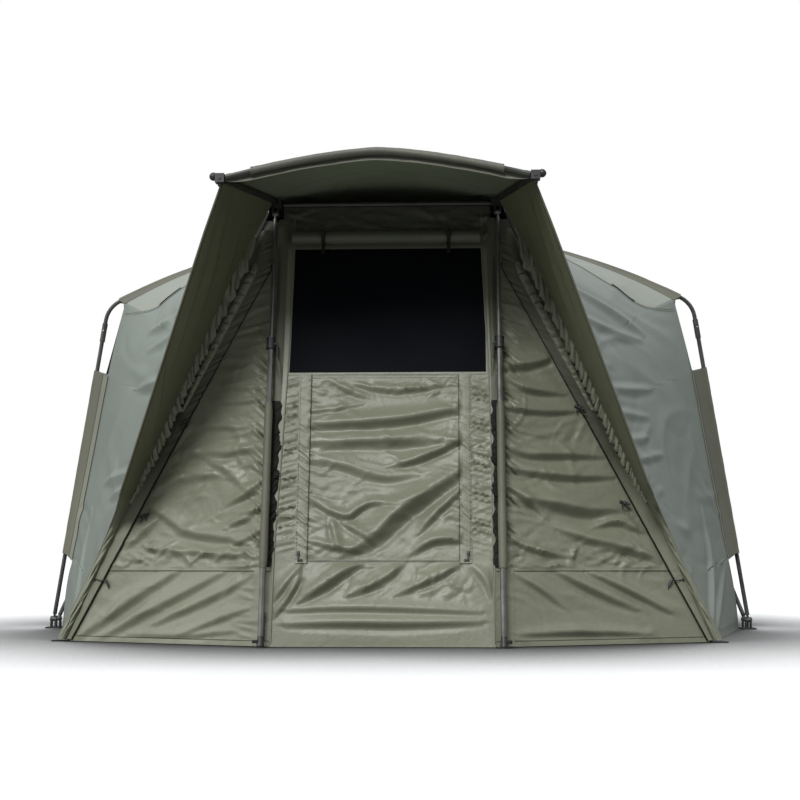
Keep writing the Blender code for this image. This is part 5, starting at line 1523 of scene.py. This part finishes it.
SKIN_FOLDS = {
    "left": (
        (((0.34, 0.637), (0.47, 0.681), (0.55, 0.730)), 0.020, 0.014),
        (((0.42, 0.600), (0.55, 0.640), (0.66, 0.690)), 0.018, 0.010),
        (((0.46, 0.515), (0.60, 0.540), (0.74, 0.570)), 0.018, 0.012),
        (((0.40, 0.305), (0.60, 0.335), (0.82, 0.370)), 0.018, 0.011),
        (((0.58, 0.288), (0.70, 0.310), (0.84, 0.335)), 0.016, 0.010),
        (((0.93, 0.012), (0.60, 0.075), (0.40, 0.14), (0.32, 0.24)), 0.018, 0.010),
        (((0.20, 0.10), (0.30, 0.30), (0.36, 0.50)), 0.035, 0.008)),
    "right": (
        (((0.66, 0.80), (0.50, 0.713), (0.36, 0.630)), 0.021, 0.015),
        (((0.78, 0.73), (0.60, 0.662), (0.40, 0.615)), 0.019, 0.013),
        (((0.86, 0.563), (0.70, 0.535), (0.47, 0.510)), 0.016, 0.010),
        (((0.90, 0.512), (0.75, 0.485), (0.58, 0.460)), 0.015, 0.008),
        (((0.90, 0.447), (0.78, 0.435), (0.66, 0.423)), 0.014, 0.007),
        (((0.92, 0.402), (0.76, 0.390), (0.58, 0.379)), 0.014, 0.007),
        (((0.93, 0.012), (0.60, 0.075), (0.40, 0.14), (0.32, 0.24)), 0.018, 0.013),
        (((0.80, 0.010), (0.45, 0.060), (0.20, 0.115)), 0.016, 0.010),
        (((0.15, 0.08), (0.24, 0.28), (0.30, 0.50)), 0.035, 0.008)),
}


SLEEVE_REACH = {"left": (0.165, 0.125), "right": (0.135, 0.105)}
STRIPE_STARTS = {"left": 0.60, "right": 0.90}
SKIN_WIDTH = 0.9
SKIN_LENGTH = 1.9
SKIN_OUT = unit(np.array((0.80, -0.45, 0.35)))
YOKE_SEAM = (
    (0.070, 0.648), (0.12, 0.655), (0.22, 0.680), (0.262, 0.720), (0.27, 0.80), (0.272, 0.90), (0.274, 0.955))
TAB_LINE = ((0.245, 0.705), (0.255, 0.735), (0.255, 0.768))


def skin_back(length):
    """Line that the side skin follows at the main rib, straight across the bare stretches of tube."""
    length = np.asarray(length, float)
    foot = np.array((FOOT_HALF - SKIN_INSIDE_FOOT, 0, HEM))
    low = mix(foot, at(MAIN_PATH, SIDE_SLEEVE_START), ramp(length, SIDE_SLEEVE_START))
    share = ramp(length - SIDE_SLEEVE_END, TOP_SLEEVE_START - SIDE_SLEEVE_END)
    bend = mix(at(MAIN_PATH, SIDE_SLEEVE_END), at(MAIN_PATH, TOP_SLEEVE_START), share)
    line = np.where((length < SIDE_SLEEVE_START)[..., None], low, at(MAIN_PATH, length))
    inside = (length > SIDE_SLEEVE_END) & (length < TOP_SLEEVE_START)
    return np.where(inside[..., None], bend, line)


def skin_plane(from_rib, up):
    """Side skin without relief, over shares from the rib to the zip and up the rib."""
    from_rib, up = np.broadcast_arrays(from_rib, up)
    length = up * SKIN_TOP
    near = [skin_back(np.clip(length + step, 0, SKIN_TOP)) for step in np.linspace(-0.2, 0.2, 11)]
    away = ramp(from_rib, 0.30)
    eased = away * away * (3 - 2 * away) * ramp(length, SIDE_SLEEVE_START)
    back = mix(skin_back(length), sum(near) / len(near), eased)
    front = zip_point(1 - up)
    front = np.where((up < 0.002)[..., None], front * (1, 1, 0) + (0, 0, HEM), front)
    toward = unit(front - back)
    back = back + toward * (TUBE_R + 2 * CLEAR)
    front = front - toward * (ZIP_R + CLEAR)
    close = ramp(up - 0.94, 0.06)
    bar = mix(BAR_END, np.array((HUB_HALF, -HUB_FORWARD + 0.055, HUB_HEIGHT)), from_rib) + (0.009, 0, -0.003)
    sag = SKIN_SAG * np.sin(math.pi * from_rib) * np.sin(math.pi * up)
    points = mix(back, front, from_rib) - np.array((1, 0, 0)) * sag[..., None]
    return mix(points, bar, close ** 1.5)


def in_metres(points):
    """Points given as shares of a skin, in metres over the cloth."""
    return [(a * SKIN_WIDTH, b * SKIN_LENGTH) for a, b in points]


def skin_at(side):
    """Surface of a side skin, over shares from the rib to the zip and up the rib."""
    seed = 140 if side == "left" else 150
    lines = [(in_metres(points), width, rise) for points, width, rise in SKIN_FOLDS[side]]

    def surface(from_rib, up, lift=0.0):
        """Points of the skin at the shares, with its relief."""
        from_rib, up = np.broadcast_arrays(from_rib, up)
        s, t = from_rib * SKIN_WIDTH, up * SKIN_LENGTH
        loose = drawn(s, t, lines, crest)
        loose += crinkles(s, t, seed, 36, (0.1, 0.85, 0.1, 1.7), 0.14, 0.022, 0.0055, 0.25, 0.5)
        loose += crinkles(s, t, seed + 1, 40, (0.70, 0.88, 0.1, 1.6), 0.05, 0.010, 0.004, 0.1, 0.3, True)
        loose *= ramp(from_rib - 0.07, 0.09) * ramp(1 - from_rib, 0.03)
        loose *= ramp(up, 0.02) * ramp(0.97 - up, 0.04)
        return skin_plane(from_rib, up) + SKIN_OUT * (loose + lift)[..., None]
    return surface


def sleeve_reach(length, side):
    """Width of the flat sleeve beside the rib, at lengths up the rib."""
    low = np.interp(length, (SIDE_SLEEVE_START, SIDE_SLEEVE_END), SLEEVE_REACH[side])
    high = np.interp(length, (TOP_SLEEVE_START, SKIN_TOP), (0.052, 0.040))
    return np.where(length < TOP_SLEEVE_START, low, high)


def side_skin(side):
    """Skin between the main rib and the zip, cut back along the bare stretches of the rib."""
    sign = SIGNS[side]
    marks = [0, SIDE_SLEEVE_START / SKIN_TOP, SIDE_SLEEVE_END / SKIN_TOP, TOP_SLEEVE_START / SKIN_TOP, 1]
    f, u = np.meshgrid(np.linspace(1, 0, 130), spans(marks, 0.0042))
    plane = skin_plane(f, u)
    lengths = u * SKIN_TOP
    width = np.linalg.norm(plane[:, 0] - plane[:, -1], axis=1)[:, None]
    bare = (lengths < SIDE_SLEEVE_START) | ((lengths > SIDE_SLEEVE_END) & (lengths < TOP_SLEEVE_START))
    low, high = SLEEVE_REACH[side]
    inset = np.interp(lengths, (0, SIDE_SLEEVE_START, SIDE_SLEEVE_END, TOP_SLEEVE_START),
                      (0.004, low * 0.93, high * 0.93, 0.046))
    start = np.where(bare, inset / width, 0)
    f = start + (1 - start) * f
    skin = Shape().grid(skin_at(side)(f, u), sign).piece(
        "side_cloth_" + side, SKIN, "skin_green", ["side_skin_" + side])
    declare(skin_plane(f, u))


def sleeve_facings(side):
    """Flat parts of the rib's sleeves that lie on the skin, with the stripe on the lower one."""
    sign = SIGNS[side]
    surface = skin_at(side)
    facings = Shape()
    columns = np.linspace(0, 1, 9)
    for low, high in ((SIDE_SLEEVE_START, SIDE_SLEEVE_END), (TOP_SLEEVE_START, SKIN_TOP * 0.985)):
        length = np.linspace(low, high, 120)
        up = length / SKIN_TOP
        width = np.linalg.norm(skin_plane(0.0, up) - skin_plane(1.0, up), axis=1)
        reach = (sleeve_reach(length, side) / width)[:, None]
        up = up[:, None]
        facings.grid(surface(reach * columns, up, 0.0022 + 0.006 * (1 - columns) ** 2), sign)
        if low == SIDE_SLEEVE_START:
            edge = STRIPE_STARTS[side]
            stripe = surface(reach * np.linspace(edge, 1.0, 3), up, 0.0036)
            seam = surface(reach * np.array((edge, edge + 0.03)), up, 0.0048)
    facings.piece("sleeve_facing_" + side, SLEEVE, "skin_green")
    Shape().grid(stripe, sign).piece("sleeve_stripe_" + side, TRIM, "skin_green")
    Shape().grid(seam, sign).piece("sleeve_seam_" + side, STITCH, "skin_green", thickness=CLOTH / 2)


def skin_trim(side):
    """Pale strip under the top sleeve, the seams and the dark tab of a side skin."""
    sign = SIGNS[side]
    surface = skin_at(side)
    inner, heights = np.array(YOKE_SEAM).T
    up = np.linspace(max(heights[0], TOP_SLEEVE_START / SKIN_TOP) + 0.003, heights[-1], 110)[:, None]
    # The strip's paleness is partly its own tone and partly painted highlight.
    yoke = surface(np.interp(up, heights, inner) * np.linspace(0.12, 0.99, 9), up, 0.0010)
    Shape().grid(yoke, sign).piece("skin_yoke_" + side, YOKE, "skin_green", thickness=CLOTH / 2)
    tapes = Shape()
    lines = Shape()
    for points in (YOKE_SEAM, ((0.50, 0.012), (0.985, 0.012)), ((0.05, 0.012), (0.50, 0.012))):
        tapes.grid(skin_band(surface, points, 0.013, SEAM_LIFT), sign)
        lines.grid(skin_band(surface, points, 0.0014, 0.0026), sign)
    tapes.piece("skin_seams_" + side, SKIN, "skin_green")
    lines.piece("skin_stitching_" + side, SLEEVE, "skin_green", thickness=CLOTH / 2)
    Shape().grid(skin_band(surface, TAB_LINE, 0.009, 0.003), sign).piece(
        "skin_tab_" + side, DARK, "zip_black", thickness=WEBBING)


def skin_band(surface, points, width, lift):
    """Tape on a skin, whose places are shares, with its width in metres."""
    def scaled(s, t, lift):
        return surface(ramp(s, SKIN_WIDTH), ramp(t, SKIN_LENGTH), lift)
    return band(scaled, rounded(in_metres(points)), width, lift, 0.008)


def rib_sleeves():
    """Sleeves on the main rib, each with the flat seam that joins it to the skin."""
    lengths = np.linspace(SIDE_SLEEVE_START, SIDE_SLEEVE_END, 90)
    for side, sign in SIGNS.items():
        sleeve_on("rib_sleeve_" + side, at(MAIN_PATH, lengths), sign, "main_sleeve_side_" + side,
                  160 + sign)
    half = at(MAIN_PATH, np.linspace(TOP_SLEEVE_START, MAIN_LENGTH, 110))
    sleeve_on("rib_sleeve_top", mirrored(half * (-1, 1, 1)), 1, "main_sleeve_top", 170)


def sleeve_on(name, path, sign, replaced, seed):
    """Sleeve along a stretch of the main rib, with the seam that closes it."""
    forward = np.array((0, -1, 0))
    turns = np.linspace(0, 2 * math.pi, 24, endpoint=False)
    rows = []
    inner = []
    for point, tangent, lump in zip(path, unit(np.gradient(path, axis=0)), lumps(seed, len(path), 5)):
        outward = unit(np.cross(tangent, forward))
        inward = outward if outward[2] < 0 else -outward
        radius = 0.0110 + 0.0006 * lump + 0.0035 * np.clip(np.cos(turns - 0.2), 0, 1) ** 6
        around = np.outer(np.cos(turns) * radius, forward) + np.outer(np.sin(turns) * radius, outward)
        rows.append(point + around)
        inner.append([point + forward * 0.0148 + inward * w for w in (0.0015, 0.0035)])
    sleeve = Shape().grid(np.array(rows), sign, wrap=True).piece(name, SLEEVE, "skin_green", [replaced])
    declare(np.array(rows))
    Shape().grid(np.array(inner), sign).piece(name + "_stitching", STITCH, "skin_green", thickness=CLOTH / 2)


def rear_hem(share):
    """Foot of the rear wall, from the rear rib's foot to the middle of the back."""
    angle = math.pi / 2 * np.asarray(share)
    x = REAR_HEM_HALF * np.maximum(np.cos(angle), 0) ** HEM_SQUARENESS_SHARE
    start_y = at(REAR_PATH, REAR_LENGTH * SKIN_START_SHARE)[1]
    y = start_y + (REAR_HEM_BEHIND - start_y) * np.sin(angle) ** HEM_SQUARENESS_SHARE
    return np.stack((x, y, np.full_like(x, HEM)), axis=-1)


def bend_by_angle(piece):
    """Read the roof's points; no weights are set."""
    co = np.zeros(len(piece.data.vertices) * 3, np.float32)
    piece.data.vertices.foreach_get("co", co)
    co = co.reshape(-1, 3)


def end_fade(grid):
    """0 at the first and last row of a grid, 1 from the seventh on."""
    rows = np.arange(len(grid))
    return ramp(np.minimum(rows, rows[::-1]), 6)[:, None]


def rear_roof():
    """Roof between the ribs, whose front edge lies back behind the bare stretches of the main rib."""
    share = SKIN_START_SHARE + (1 - SKIN_START_SHARE) * np.linspace(0, 1, 150)
    length = MAIN_LENGTH * share
    front = skin_back(length)
    marks, offsets = np.array(
        BARE_RIB_MARKS + ((TOP_SLEEVE_START - 0.01, 0.062), (TOP_SLEEVE_START + 0.03, 0))).T
    onward = unit(zip_point(np.clip(1 - length / SKIN_TOP, 0, 1)) - front)
    front = front + onward * np.interp(length, marks, offsets)[:, None]
    back = at(REAR_PATH, REAR_LENGTH * share)
    toward = unit(back - front)
    front = front + toward * (SLEEVE_R + CLEAR)
    back = back - toward * REAR_TUBE_GAP
    front[-1, 0] = back[-1, 0] = 0
    columns = np.linspace(0, 1, 90)
    rows = []
    for u in columns:
        sag = (REAR_SAG * math.sin(math.pi * u) * share)[:, None]
        centre = front + (back - front) * u
        rows.append(centre * (1 - sag) + centre * (0, 1, 0) * sag)
    grid = mirrored(np.stack(rows, axis=1))
    s, t = np.meshgrid(columns * 0.9, np.linspace(0, 4.2, len(grid)))
    loose = crinkles(s, t, 180, 90, (0.1, 0.8, 0.2, 4.0), 0.12, 0.020, 0.005, 0.1, 0.6)
    loose *= (ramp(columns, 0.05) * ramp(1 - columns, 0.05))[None, :]
    loose *= end_fade(grid)
    roof = Shape().grid(lifted(grid, -loose)).piece(
        "rear_roof_cloth", SKIN, "skin_green", ["rear_roof"], body=None)
    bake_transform(roof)
    bend_by_angle(roof)
    declare(grid)


def rear_wall():
    """Wall behind the rear rib, with its hem and three upright seams."""
    start = REAR_LENGTH * SKIN_START_SHARE
    lengths = np.linspace(start, REAR_LENGTH, 170)
    low = rear_hem((lengths - start) / (REAR_LENGTH - start))
    top = at(REAR_PATH, lengths)
    top = top + unit(low - top) * REAR_TUBE_GAP
    top[-1, 0] = low[-1, 0] = 0
    columns = np.linspace(0, 1, 130)
    grid = mirrored(np.stack([mix(top, low, np.full(len(top), c)) for c in columns], axis=1))
    s, t = np.meshgrid(columns, np.linspace(0, 4.4, len(grid)))
    loose = crinkles(s, t, 190, 110, (0.1, 0.95, 0.2, 4.2), 0.10, 0.017, 0.006, 0.3, 0.7)
    loose += crinkles(s, t, 191, 60, (0.85, 1.0, 0.2, 4.2), 0.06, 0.012, 0.005, 0.1, 0.3)
    loose *= (ramp(columns, 0.05) * ramp(1 - columns, 0.03))[None, :]
    loose *= end_fade(grid)
    full = lifted(grid, -loose)
    wall = Shape().grid(full).piece("rear_wall_cloth", SKIN, "skin_green", ["rear_wall"], body="rear_frame")
    declare(grid)
    tapes = Shape()
    hem = full[:, -1]
    up = unit(full[:, -4] - hem)
    out = unit(hem * (1, 1, 0))[:, None] * SEAM_LIFT
    tapes.grid(np.stack([hem + up * w for w in (0.0, 0.009, 0.018)], axis=1) + out)
    for row in (len(full) // 2 - REAR_SEAM_ROWS, len(full) // 2, len(full) // 2 + REAR_SEAM_ROWS):
        line = full[row, :-3]
        out = normals(full)[row, :-3]
        out = out * np.sign((out * (line * (1, 1, 0))).sum(axis=1, keepdims=True))
        along = unit(full[row + 1, :-3] - full[row - 1, :-3])
        tapes.grid(np.stack([line + along * w + out * SEAM_LIFT for w in (-0.007, 0, 0.007)], axis=1))
    tapes.piece("rear_seams", SLEEVE, "skin_green", body="rear_frame")


# Small fittings

ROLL_HEIGHT = WINDOW_TOP + ROLL_R
ROLL_CENTRE = np.array((0, panel_y(ROLL_HEIGHT), ROLL_HEIGHT)) + PANEL_FORWARD * (0.0013 + ROLL_R)
ROLL_TURNS = 4.1
ROLL_PITCH = 0.0042
LOOP_SECTION = (
    (0.0, 0.0006), (0.0, 0.0038), (0.0022, 0.0044), (0.0044, 0.0038), (0.0044, 0.0006), (0.0022, 0.0004))


def rolled_cover():
    """The window's cover, rolled up over the window."""
    turns = np.linspace(0.0, ROLL_TURNS * 2 * math.pi, 190)
    radius = ROLL_R - 0.0008 - ROLL_PITCH * turns / (2 * math.pi)
    xs = np.linspace(-ROLL_HALF, ROLL_HALF, 90)
    tight = 1 - 0.10 * np.exp(-((np.abs(xs) - TOGGLE_X) / 0.014) ** 2)
    rows = []
    for x, lump, t in zip(xs, lumps(200, len(xs), 9), tight):
        r = radius * t * (1 + 0.018 * lump + 0.012 * np.sin(3 * turns + 14 * x))
        r = np.minimum(r, ROLL_R)[:, None]
        around = np.cos(turns)[:, None] * PANEL_UP + np.sin(turns)[:, None] * PANEL_FORWARD
        rows.append(ROLL_CENTRE + r * around + (x, 0, 0))
    grid = np.array(rows)
    roll = Shape().grid(grid).piece("window_cover", FRONT, "front_olive", ["window_cover_roll"])
    declare(grid)


def toggles():
    """Loops round the rolled cover, each closed by a toggle."""
    loops = Shape()
    for sign in SIGNS.values():
        x = sign * TOGGLE_X
        ring = []
        for a in np.linspace(0, 2 * math.pi, 40, endpoint=False):
            out = (PANEL_UP * math.cos(a) + PANEL_FORWARD * math.sin(a)) * (ROLL_R * 0.935)
            ring.append([ROLL_CENTRE + (x + w, 0, 0) + out for w in (-0.006, 0.006)])
        ring.append(ring[0])
        loops.grid(np.array(ring))
        tail = []
        for d in (0, 0.012, 0.024, 0.034):
            place = ROLL_CENTRE - PANEL_UP * (ROLL_R + d) + PANEL_FORWARD * (0.004 + 0.002 * math.sin(60 * d))
            tail.append([place + (x + w, 0, 0) for w in (-0.005, 0.005)])
        loops.grid(np.array(tail))
    loops.piece("toggle_loops", WEB, "zip_black", thickness=WEBBING)
    for side in SIGNS:
        middle = middle_of("toggle_" + side)
        along = np.linspace(-1, 1, 13)
        knob = Shape()
        knob.tube(middle + PANEL_UP * 0.018 * along[:, None], 0.0062 - 0.0018 * np.abs(along) ** 3, 14)
        knob.block((0.013, 0.004, 0.010), middle + PANEL_FORWARD * 0.0015, bevel=0.0012)
        knob.piece(
            "cover_toggle_" + side, PLASTIC, "black_plastic", ["toggle_" + side], body="toggle_body_" + side,
            thickness=0)


def door_sliders():
    """Pulls at the foot of the door's zips, each with its tape tail."""
    tilt = Matrix.Rotation(math.atan(POLE_SLOPE), 4, "X")
    for side in SIGNS:
        centre = middle_of("door_slider_" + side)
        pull = Shape()
        pull.block((0.009, 0.0035, 0.016), centre + PANEL_FORWARD * 0.003, tilt, 0.001)
        pull.block((0.005, 0.004, 0.008), centre + PANEL_FORWARD * 0.0055, tilt, 0.001)
        pull.block((0.0055, 0.0016, 0.024), centre + PANEL_FORWARD * 0.0075 - (0, 0, 0.012), tilt, 0.0006)
        pull.piece(
            "door_pull_" + side, PLASTIC, "slider_metal", ["door_slider_" + side], body="door_runner_" + side,
            thickness=0)


def peg_loops():
    """Webbing loops at the corners, flat on the ground, each with the stub that is sewn to the hem."""
    for name in sorted(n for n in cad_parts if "peg_loop" in n):
        body = "main_frame" if name.startswith("front") else "rear_frame"
        co = np.array([tuple(v.co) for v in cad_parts[name].data.vertices]) - (0, RIB_Y, 0)
        centre = (co.max(axis=0) + co.min(axis=0)) / 2
        flat = co[:, :2] - centre[:2]
        long_axis = np.linalg.svd(flat, full_matrices=False)[2][0]
        along = np.array((long_axis[0], long_axis[1], 0))
        across = np.array((-long_axis[1], long_axis[0], 0))
        reach = np.abs(flat @ long_axis).max()
        wide = np.abs(flat @ across[:2]).max()
        ground = centre * (1, 1, 0)
        rows = []
        for a in np.linspace(0, 2 * math.pi, 48, endpoint=False):
            ring = []
            for inset, z in LOOP_SECTION:
                out = along * (reach - inset) * math.cos(a) + across * (wide - inset) * math.sin(a)
                ring.append(ground + out + (0, 0, z))
            rows.append(ring)
        rows.append(rows[0])
        Shape().grid(np.array(rows), wrap=True).piece(
            name + "_webbing", WEB, "zip_black", [name], body=body, thickness=0)
        inward = -along if centre @ along > 0 else along
        root = ground + inward * reach
        tab = []
        for d in (-0.012, -0.004, 0.004, 0.012):
            rise = (0, 0, 0.002 + max(0, d) * 0.25)
            tab.append([root + inward * d + across * w + rise for w in (-0.010, 0, 0.010)])
        Shape().grid(np.array(tab)).piece(name + "_stub", WEB, "zip_black", body=body, thickness=WEBBING)


def foot_strap(side):
    """Short webbing strap at the foot of a pole."""
    place = middle_of("pole_foot_" + side) + (SIGNS[side] * 0.014, -0.004, 0.001)
    strap = Shape().block((0.020, 0.006, 0.010), place, bevel=0.0015)
    strap.piece("foot_strap_" + side, WEB, "zip_black", body="pole_bottom_" + side, thickness=0)


def corner_detail(side):
    """End knob, front button and lower boss of a brow corner."""
    sign = SIGNS[side]
    corner = np.array((sign * BROW_HALF, -BROW_FORWARD, BROW_HEIGHT))
    detail = Shape()
    for start, end, radii, sides in (
            ((sign * 0.009, 0, 0.001), (sign * 0.020, 0, 0.007), (0.0095, 0.0065), 14),
            ((0, -0.012, 0), (0, -0.0155, 0), 0.0050, 12),
            ((0, 0, -0.011), (0, 0, -0.022), (0.0085, 0.0060), 14)):
        detail.tube([corner + start, corner + end], radii, sides)
    detail.piece("corner_detail_" + side, PLASTIC, "black_plastic", thickness=0)


def ferrule_button(side):
    """Spring button just below the bend of the main rib."""
    spot = at(MAIN_PATH, MAIN_BEND_START - 0.045) * (SIGNS[side], 1, 1) + (0, -0.0105, 0)
    Shape().ball(spot, 0.0036).piece("ferrule_button_" + side, BRIGHT, "rib_metal", thickness=0)


def hinge_bolts(side):
    """Heads of the two pins in a hinge block."""
    bolts = Shape()
    x = SIGNS[side] * FOOT_HALF
    for y in (0, PIN_SPACING):
        bolts.tube([(x - 0.0145, y, HINGE_HEIGHT), (x + 0.0145, y, HINGE_HEIGHT)], 0.0062, 6)
    bolts.piece("hinge_bolts_" + side, METAL, "slider_metal", body="rear_frame", thickness=0)


def clamp_rims(side):
    """Raised rims round both ends of a pole's clamp."""
    mirror = (SIGNS[side], 1, 1)
    axis = POLE_AXIS * mirror * 0.002
    rims = Shape()
    for height in CLAMP_RIM_HEIGHTS:
        spot = pole_point(height) * mirror
        rims.tube([spot - axis, spot + axis], 0.0152, 24)
    rims.piece("clamp_rims_" + side, PLASTIC, "black_plastic", body="pole_bottom_" + side, thickness=0)


# Light and camera

def floor_material():
    """Pale floor that shows near white to the camera, keeps the cast shadow, has a darker contact shadow
    painted in from ambient occlusion, and throws little light back.
    """
    material, tree, shader = blank("floor")
    shader.inputs["Roughness"].default_value = 1.0
    shader.inputs["Specular IOR Level"].default_value = 0.0
    seen = node(tree, "ShaderNodeLightPath").outputs["Is Camera Ray"]
    # Ambient occlusion to the fourth power darkens the floor near the tent: a painted contact shadow, for
    # camera rays only.
    near = node(tree, "ShaderNodeAmbientOcclusion", {"Distance": 1.10}, samples=12).outputs["AO"]
    painted_contact_shadow = node(tree, "ShaderNodeMath", {0: near, 1: 4.0}, operation="POWER").outputs["Value"]
    shown = blended(tree, painted_contact_shadow, (0.02, 0.02, 0.02, 1), (0.78, 0.78, 0.78, 1))
    colours = blended(tree, seen, (0.25, 0.25, 0.24, 1), shown)
    tree.links.new(colours, shader.inputs["Base Color"])
    return material


def floor_plane():
    """Plane under the tent."""
    mesh = bpy.data.meshes.new("floor")
    corners = [(x * FLOOR_REACH, y * FLOOR_REACH, 0) for x, y in ((-1, -1), (1, -1), (1, 1), (-1, 1))]
    mesh.from_pydata(corners, [], [(0, 1, 2, 3)])
    mesh.materials.append(floor_material())
    floor = bpy.data.objects.new("floor", mesh)
    bpy.context.scene.collection.objects.link(floor)


def sky():
    """Pale dome that is white to the camera and darker towards the ground in its light."""
    world = bpy.data.worlds.new("studio")
    bpy.context.scene.world = world
    world.use_nodes = True
    tree = world.node_tree
    tree.nodes.clear()
    path = node(tree, "ShaderNodeLightPath")
    seen = node(tree, "ShaderNodeMath", {
        0: path.outputs["Is Camera Ray"], 1: path.outputs["Is Transmission Ray"]}, operation="MAXIMUM")
    way = node(tree, "ShaderNodeTexCoord").outputs["Generated"]
    height = node(tree, "ShaderNodeSeparateXYZ", {"Vector": way}).outputs["Z"]
    strength = node(tree, "ShaderNodeMapRange", {
        "Value": height, "From Min": -0.05, "From Max": 0.85, "To Min": 0.14, "To Max": 1.00},
        interpolation_type="SMOOTHSTEP")
    dome = node(tree, "ShaderNodeBackground", {
        "Color": (0.95, 0.98, 1.0, 1), "Strength": strength.outputs["Result"]})
    white = node(tree, "ShaderNodeBackground", {"Color": (1, 1, 1, 1), "Strength": 1.0})
    both = node(tree, "ShaderNodeMixShader", {
        0: seen.outputs["Value"], 1: dome.outputs["Background"], 2: white.outputs["Background"]})
    out = node(tree, "ShaderNodeOutputWorld")
    tree.links.new(both.outputs["Shader"], out.inputs["Surface"])


# Name, way the light goes, strength and width in degrees
LAMPS = (("key", (0.24, 0.80, -0.62), 2.45, 20), ("fill", (0.85, 0.20, -0.50), 0.85, 50))


def lamps():
    """Broad light from the front and above, and a weaker and softer one from the left."""
    for name, toward, strength, angle in LAMPS:
        lamp = bpy.data.lights.new(name, "SUN")
        lamp.energy = strength
        lamp.angle = math.radians(angle)
        sun = bpy.data.objects.new(name, lamp)
        sun.rotation_euler = Vector(toward).to_track_quat("-Z", "Y").to_euler()
        bpy.context.scene.collection.objects.link(sun)


def view():
    """Camera fitted to the photo."""
    lens = bpy.data.cameras.new("camera")
    lens.lens = LENS_MM
    lens.sensor_width = SENSOR_MM
    lens.clip_end = 200
    camera = bpy.data.objects.new("camera", lens)
    camera.location = np.array(CAMERA_PLACE) + (0, RIB_Y, 0)
    camera.rotation_euler = (math.pi / 2 + CAMERA_TILT, 0, CAMERA_TURN)
    bpy.context.scene.collection.objects.link(camera)
    bpy.context.scene.camera = camera
    bpy.context.scene.view_settings.view_transform = "Standard"


refinish()
floor_plane()
sky()
lamps()
view()
middle_front()
door()
window()
door_flaps()
panel_borders()
window_border()
panel_piping()
door_hem()
for each in SIGNS:
    zip_tape(each)
    zip_chain(each)
    zip_pull(each)
    front_side(each)
    zip_cover(each)
    wing_ruffle(each)
    cover_ruffle(each)
    wing(each)
    low_band(each)
    arm_cover(each)
    zip_clips(each)
    side_skin(each)
    sleeve_facings(each)
    skin_trim(each)
for each in SIGNS:
    pole_margin(each)
for each in SIGNS:
    pole_recess(each)
    pole_sleeve(each)
hood()
brow_pocket()
brow_band()
pocket_ends()
rib_sleeves()
rear_roof()
rear_wall()
rolled_cover()
toggles()
door_sliders()
peg_loops()
for each in SIGNS:
    foot_strap(each)
    corner_detail(each)
    ferrule_button(each)
    hinge_bolts(each)
    clamp_rims(each)
